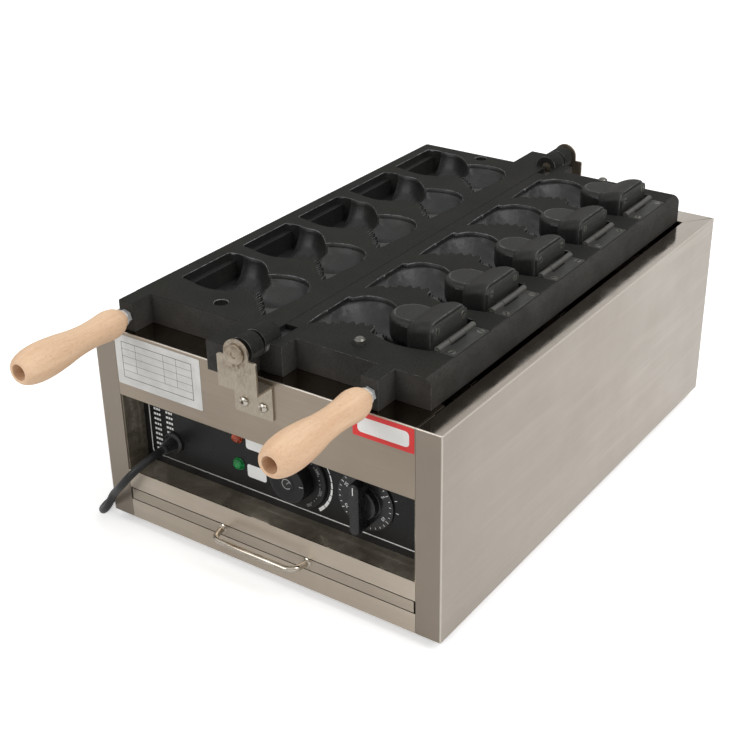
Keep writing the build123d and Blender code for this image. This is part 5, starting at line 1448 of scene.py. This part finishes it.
def make_labels():
    """A foil plate with thin ruled lines and a red badge with a bare white field; neither has text."""
    make_label("foil_plate", [ink_shape(rounded_rectangle(*PLATE_AREA, 1.5), FRONT, LABEL_THICK)], FOIL,
               "front_labels")
    x0, x1, z0, z1 = PLATE_AREA
    a, b, c, d = x0 + 8.0, x1 - 10.0, z0 + 8.0, z1 - 7.0
    row = (d - c) / 5
    thick, thin = 0.6, 0.35
    boxes = [(a, b, c, c + thick), (a, b, d - thick, d), (a, a + thick, c, d), (b - thick, b, c, d)]
    boxes += [(a, b, c + row * k, c + row * k + thin) for k in range(1, 5)]
    for share in (0.2, 0.6, 0.78):
        x = a + (b - a) * share
        boxes.append((x, x + thin, c + row, d))
    make_label("plate_rules", [ink_box(*area, FRONT - LABEL_THICK, RULE_THICK) for area in boxes], DARK_INK)
    make_label("red_badge", [ink_shape(rounded_rectangle(*BADGE_AREA, 0.8), FRONT, LABEL_THICK)], RED_INK)
    x0, x1, z0, z1 = BADGE_AREA
    field = rounded_rectangle(x0 + 5.0, x1 - 5.0, z0 + 4.5, z1 - 4.5, 4.0)
    make_label("badge_field", [ink_shape(field, FRONT - LABEL_THICK, RULE_THICK)], WHITE_INK)


make_labels()


# Bow handle of the tray

BOW_Z = corners("tray_handle")[0][2] + 5.0
BOW_HALF = 50.0
BOW_R = 3.0


def make_bow():
    """A polished round bar bent into a bow, with turned seats."""
    half = [(BOW_HALF, FRONT + 0.5), (BOW_HALF - 0.4, FRONT - 6.0)]
    for k in range(11):
        turn = math.pi / 2 * k / 10
        half.append((37.9 + 10.9 * math.cos(turn), FRONT - 7.5 - 11.0 * math.sin(turn)))
    line = [(-x, y, BOW_Z) for x, y in half] + [(x, y, BOW_Z) for x, y in half[::-1]]
    holder, _ = tube("bow", "POLY", line, BOW_R)
    bar = linked("bar", evaluated_mesh(holder))
    bpy.data.objects.remove(holder)
    profile = [(0, 0), (0, 5.0), (0.5, 5.0), (1.0, 4.4), (1.6, 3.0), (1.6, 0)]
    seats = joined("seats", [lathe_shell(profile, (x, FRONT, BOW_Z), OUTWARD, 40)
                             for x in (-BOW_HALF, BOW_HALF)])
    finish_piece(merged("chrome_bow", [bar, seats], 40), "drip_tray", "chrome_bow", CHROME, "tray_handle")


make_bow()


# Gland, mains lead, tie and plug

GLAND = (-130.0, PANEL_Y, BASE + 85.0)
EXIT = (-130.0, PANEL_Y - 18.0, BASE + 85.0)
CORD_R = 3.9
CORD_Z = 4.9
COIL_CENTRE = (-267.0, FRONT + 258.0)
COIL_OUT = 51.0
COIL_PITCH = 8.4
COIL_LAYER_TURNS = 2
COIL_IN = COIL_OUT - COIL_PITCH * COIL_LAYER_TURNS
COIL_STEPS = 24
HALF_COIL = 2 * math.pi * COIL_LAYER_TURNS
WHOLE_COIL = 2 * HALF_COIL
LEAD_ROUTE = (
    EXIT,
    (-130.0, -230.0, 95.0),
    (-133.6, -244.8, 90.2),
    (-140.5, -254.5, 81.0),
    (-149.5, -257.0, 69.8),
    (-160.5, -253.5, 58.0),
    (-173.5, -248.5, 45.5),
    (-183.0, -248.0, 28.0),
    (-195.5, -244.0, 15.5),
    (-208.5, -233.0, 7.5),
    (-216.0, -214.5, 4.4),
    (-217.5, -188.0, 4.0),
    (-215.5, -150.0, 4.0),
    (-214.5, -108.0, 4.2),
    (-216.5, -64.0, 4.6),
)


def make_gland():
    """A ring flange, then a tapering strain relief with ribs."""
    profile = [(-8.0, 0), (-8.0, 7.0), (0.0, 7.0), (0.0, 10.6), (0.5, 11.0), (2.6, 11.0), (3.6, 10.2),
               (4.0, 9.0), (3.4, 8.0), (3.6, 7.2)]
    for k in range(5):
        start, radius = 4.2 + 2.7 * k, 7.0 - 0.42 * k
        profile += [(start, radius), (start + 1.5, radius - 0.1), (start + 1.7, radius - 1.0),
                    (start + 2.4, radius - 1.1)]
    profile += [(17.6, 4.9), (18.0, 4.6), (18.0, 0)]
    piece = joined("ribbed_gland", [lathe_shell(profile, GLAND, OUTWARD, 48)], 30)
    finish_piece(piece, "root", "black_plastic", GLAND_BLACK, "cord_gland")


def coil_point(angle):
    """A place on the coil: two turns inwards on the floor, then two outwards on top of them."""
    radius = COIL_IN + COIL_PITCH * abs(HALF_COIL - angle) / (2 * math.pi)
    climb = share_of((angle - HALF_COIL + math.pi / 2) / math.pi)
    rise = COIL_PITCH * climb * climb * (3 - 2 * climb)
    return Vector((*polar(COIL_CENTRE, radius, math.degrees(angle)), CORD_Z + rise))


def coil_heading(angle):
    """The lead's direction on the coil."""
    return (coil_point(min(angle + 0.001, WHOLE_COIL)) - coil_point(max(angle - 0.001, 0.0))).normalized()


INLET = coil_point(0.0) - coil_heading(0.0) * 2 * CORD_R
OUTLET = coil_point(WHOLE_COIL) + coil_heading(WHOLE_COIL) * 2 * CORD_R
TAIL_END = OUTLET + coil_heading(WHOLE_COIL) * 32.0


def make_cord():
    """The whole lead as one smooth curve: route, coil and tail."""
    turns = 2 * COIL_LAYER_TURNS * COIL_STEPS
    points = [*LEAD_ROUTE, INLET - coil_heading(0.0) * 40.0, INLET]
    points += [coil_point(WHOLE_COIL * k / turns) for k in range(turns + 1)]
    cord, spline = tube("black_lead", "NURBS", points + [OUTLET, TAIL_END], CORD_R)
    spline.order_u = 3
    spline.use_endpoint_u = True
    spline.resolution_u = 8
    return finish_piece(cord, "root", "cord_rubber", CORD_BLACK, "mains_cord", "cord_coil")


def make_plug():
    """A moulded plug: ribbed collar, rounded body with grip grooves, two pins."""
    heading = coil_heading(WHOLE_COIL)
    flat = Vector((heading.x, heading.y, 0)).normalized()
    across = Vector((-flat.y, flat.x, 0))

    def place(along, side, up):
        return Vector((TAIL_END.x, TAIL_END.y, 12.0 + up)) + flat * along + across * side

    stations = [(14.0, 0.84), (15.0, 0.95), (16.5, 1.0)]
    for groove in (20.0, 25.0, 30.0, 35.0):
        stations += [(groove, 1.0), (groove + 1.0, 0.93), (groove + 2.6, 0.93), (groove + 3.6, 1.0)]
    stations += [(49.0, 1.0), (51.0, 0.97), (52.0, 0.9)]
    rings = []
    for along, scale in stations:
        ring = rounded_rectangle(*(c * scale for c in (-13.0, 13.0, -12.0, 12.0, 5.0)))
        rings.append([place(along, side, up) for side, up in ring])
    collar = [(0.0, 0), (0.0, 5.0)]
    for k in range(4):
        start, radius = 1.0 + 3.2 * k, 5.0 + 0.5 * k
        collar += [(start, radius), (start + 1.9, radius + 0.3), (start + 2.1, radius - 0.5),
                   (start + 3.0, radius - 0.4)]
    collar += [(14.6, 6.9), (14.6, 0)]
    pin = [(0, 0), (0, 2.4), (17.6, 2.4), (18.6, 1.9), (19.0, 1.0), (19.0, 0)]
    pins = [lathe_shell(pin, place(51.8, side, 0.0), flat, 28) for side in (-9.5, 9.5)]
    body = joined("plug_body", [ring_shell(rings)], 30)
    sleeve = joined("plug_sleeve", [lathe_shell(collar, TAIL_END, heading, 40)], 30)
    return [
        finish_piece(body, "root", "black_plastic", GLAND_BLACK, "plug"),
        finish_piece(sleeve, "root", "black_plastic", GLAND_BLACK),
        finish_piece(joined("plug_pins", pins, 30), "root", "bright_hardware", BRIGHT),
    ]


def make_tie():
    """A strap around the coil's bundle, with rounded corners."""
    x0, x1 = COIL_CENTRE[0] - 52.0, COIL_CENTRE[0] - 32.7
    z0, z1 = 0.05, 18.5
    outer = rounded_rectangle(x0, x1, z0, z1, 3.2, 6)
    inner = rounded_rectangle(x0 + 0.8, x1 - 0.8, z0 + 0.8, z1 - 0.8, 2.4, 6)
    count = len(outer)
    edges = [(outer, -6.0), (outer, 6.0), (inner, 6.0), (inner, -6.0)]
    verts = [(x, COIL_CENTRE[1] + depth, z) for line, depth in edges for x, z in line]
    faces = []
    for level in range(4):
        a, b = level * count, (level + 1) % 4 * count
        faces += [(a + k, a + (k + 1) % count, b + (k + 1) % count, b + k) for k in range(count)]
    strap = joined("coil_strap", [(verts, faces)], 40)
    return finish_piece(strap, "root", "black_plastic", GLAND_BLACK, "cord_tie")


make_gland()
LEAD = make_cord()
PLUG_PIECES = make_plug()
STRAP = make_tie()


# Floor, light and camera

FLOOR_HALF = 6000.0
FLOOR_STEPS = 4
FLOOR_GLOW = 0.42
# Skies: the strength, then colours from the horizon up
SOFT_SKY = (0.62, ((0.05, (0.62, 0.62, 0.63)), (0.9, (0.95, 0.95, 0.94))))
MIRROR_SKY = (0.95, ((0.0, (0.55, 0.54, 0.52)), (0.17, (0.26, 0.24, 0.21)), (0.30, (0.34, 0.32, 0.29)),
                     (0.46, (0.86, 0.86, 0.85)), (1.0, (1.0, 1.0, 1.0))))
CAMERA_PLACE = (0.698998, -1.042684, 0.789817)
CAMERA_ANGLES = (34.94182, 28.15319, -0.9221376)
CAMERA_LENS = 66.43


def make_floor():
    """A wide pale floor that reads white to the camera and keeps a soft shadow."""
    spots = [FLOOR_HALF * (2 * i / FLOOR_STEPS - 1) for i in range(FLOOR_STEPS + 1)]
    row = len(spots)
    faces = [(i * row + j, (i + 1) * row + j, (i + 1) * row + j + 1, i * row + j + 1)
             for i in range(FLOOR_STEPS) for j in range(FLOOR_STEPS)]
    floor = mesh_piece("floor", [(x, y, -0.1) for x in spots for y in spots], faces)
    paint = Paint("floor_white", Base_Color=(0.93, 0.93, 0.93, 1.0), Roughness=0.9, Specular_IOR_Level=0.1)
    seen = paint.node("ShaderNodeLightPath").outputs["Is Camera Ray"]
    glow = paint.node("ShaderNodeEmission", {"Color": WHITE, "Strength": paint.times(seen, FLOOR_GLOW)})
    both = paint.node("ShaderNodeAddShader", {0: paint.shader.outputs[0], 1: glow.outputs[0]})
    paint.tree.links.new(both.outputs[0], paint.tree.nodes["Material Output"].inputs["Surface"])
    floor.data.materials.append(paint.material)


def make_world():
    """White to the camera, a soft sky for the light, and a sky with a dark warm band in reflections."""
    world = bpy.data.worlds.new("studio")
    SCENE.world = world
    world.use_nodes = True
    tree = world.node_tree
    tree.nodes.clear()
    path = add_node(tree, "ShaderNodeLightPath").outputs
    coords = add_node(tree, "ShaderNodeTexCoord").outputs["Generated"]
    height = add_node(tree, "ShaderNodeSeparateXYZ", {0: coords}).outputs[2]
    raised = add_node(tree, "ShaderNodeMapRange", {"Value": height, "From Min": -0.2}).outputs[0]
    soft, mirror, white = (
        add_node(tree, "ShaderNodeBackground", {"Color": colour, "Strength": strength}).outputs[0]
        for colour, strength in ((add_ramp(tree, raised, SOFT_SKY[1]), SOFT_SKY[0]),
                                 (add_ramp(tree, raised, MIRROR_SKY[1]), MIRROR_SKY[0]), (WHITE, 1.0))
    )
    glossy = add_node(tree, "ShaderNodeMath", {0: path["Is Glossy Ray"], 1: path["Is Transmission Ray"]},
                      operation="MAXIMUM").outputs[0]
    unseen = add_node(tree, "ShaderNodeMixShader", {0: glossy, 1: soft, 2: mirror}).outputs[0]
    seen = add_node(tree, "ShaderNodeMixShader", {0: path["Is Camera Ray"], 1: unseen, 2: white}).outputs[0]
    add_node(tree, "ShaderNodeOutputWorld", {"Surface": seen})


def make_light(name, place, size, energy, aim=(0.0, 0.05, 0.15)):
    """A large soft area lamp."""
    data = bpy.data.lights.new(name, "AREA")
    data.size = size
    data.energy = energy
    lamp = linked(name, data)
    lamp.location = place
    lamp.rotation_euler = (Vector(aim) - Vector(place)).to_track_quat("-Z", "Y").to_euler()


def make_camera():
    """The photograph's viewpoint."""
    azimuth, elevation, roll = (math.radians(a) for a in CAMERA_ANGLES)
    back = Vector((math.sin(azimuth) * math.cos(elevation), -math.cos(azimuth) * math.cos(elevation),
                   math.sin(elevation)))
    level = Vector((math.cos(azimuth), math.sin(azimuth), 0.0))
    upright = back.cross(level)
    right = level * math.cos(roll) + upright * math.sin(roll)
    up = upright * math.cos(roll) - level * math.sin(roll)
    data = bpy.data.cameras.new("photo_camera")
    data.lens = CAMERA_LENS
    data.sensor_width = 36.0
    data.sensor_fit = "HORIZONTAL"
    data.clip_end = 50.0
    camera = linked("photo_camera", data)
    camera.matrix_world = Matrix.Translation(CAMERA_PLACE) @ Matrix((right, up, back)).transposed().to_4x4()
    SCENE.camera = camera


make_floor()
make_world()
make_light("key", (2.1, 0.1, 2.3), 1.6, 34.0)
make_light("fill", (-0.9, -2.3, 1.5), 1.4, 22.0)
make_light("top", (0.9, 0.6, 2.8), 1.4, 11.0)
make_camera()
SCENE.view_settings.view_transform = "Standard"
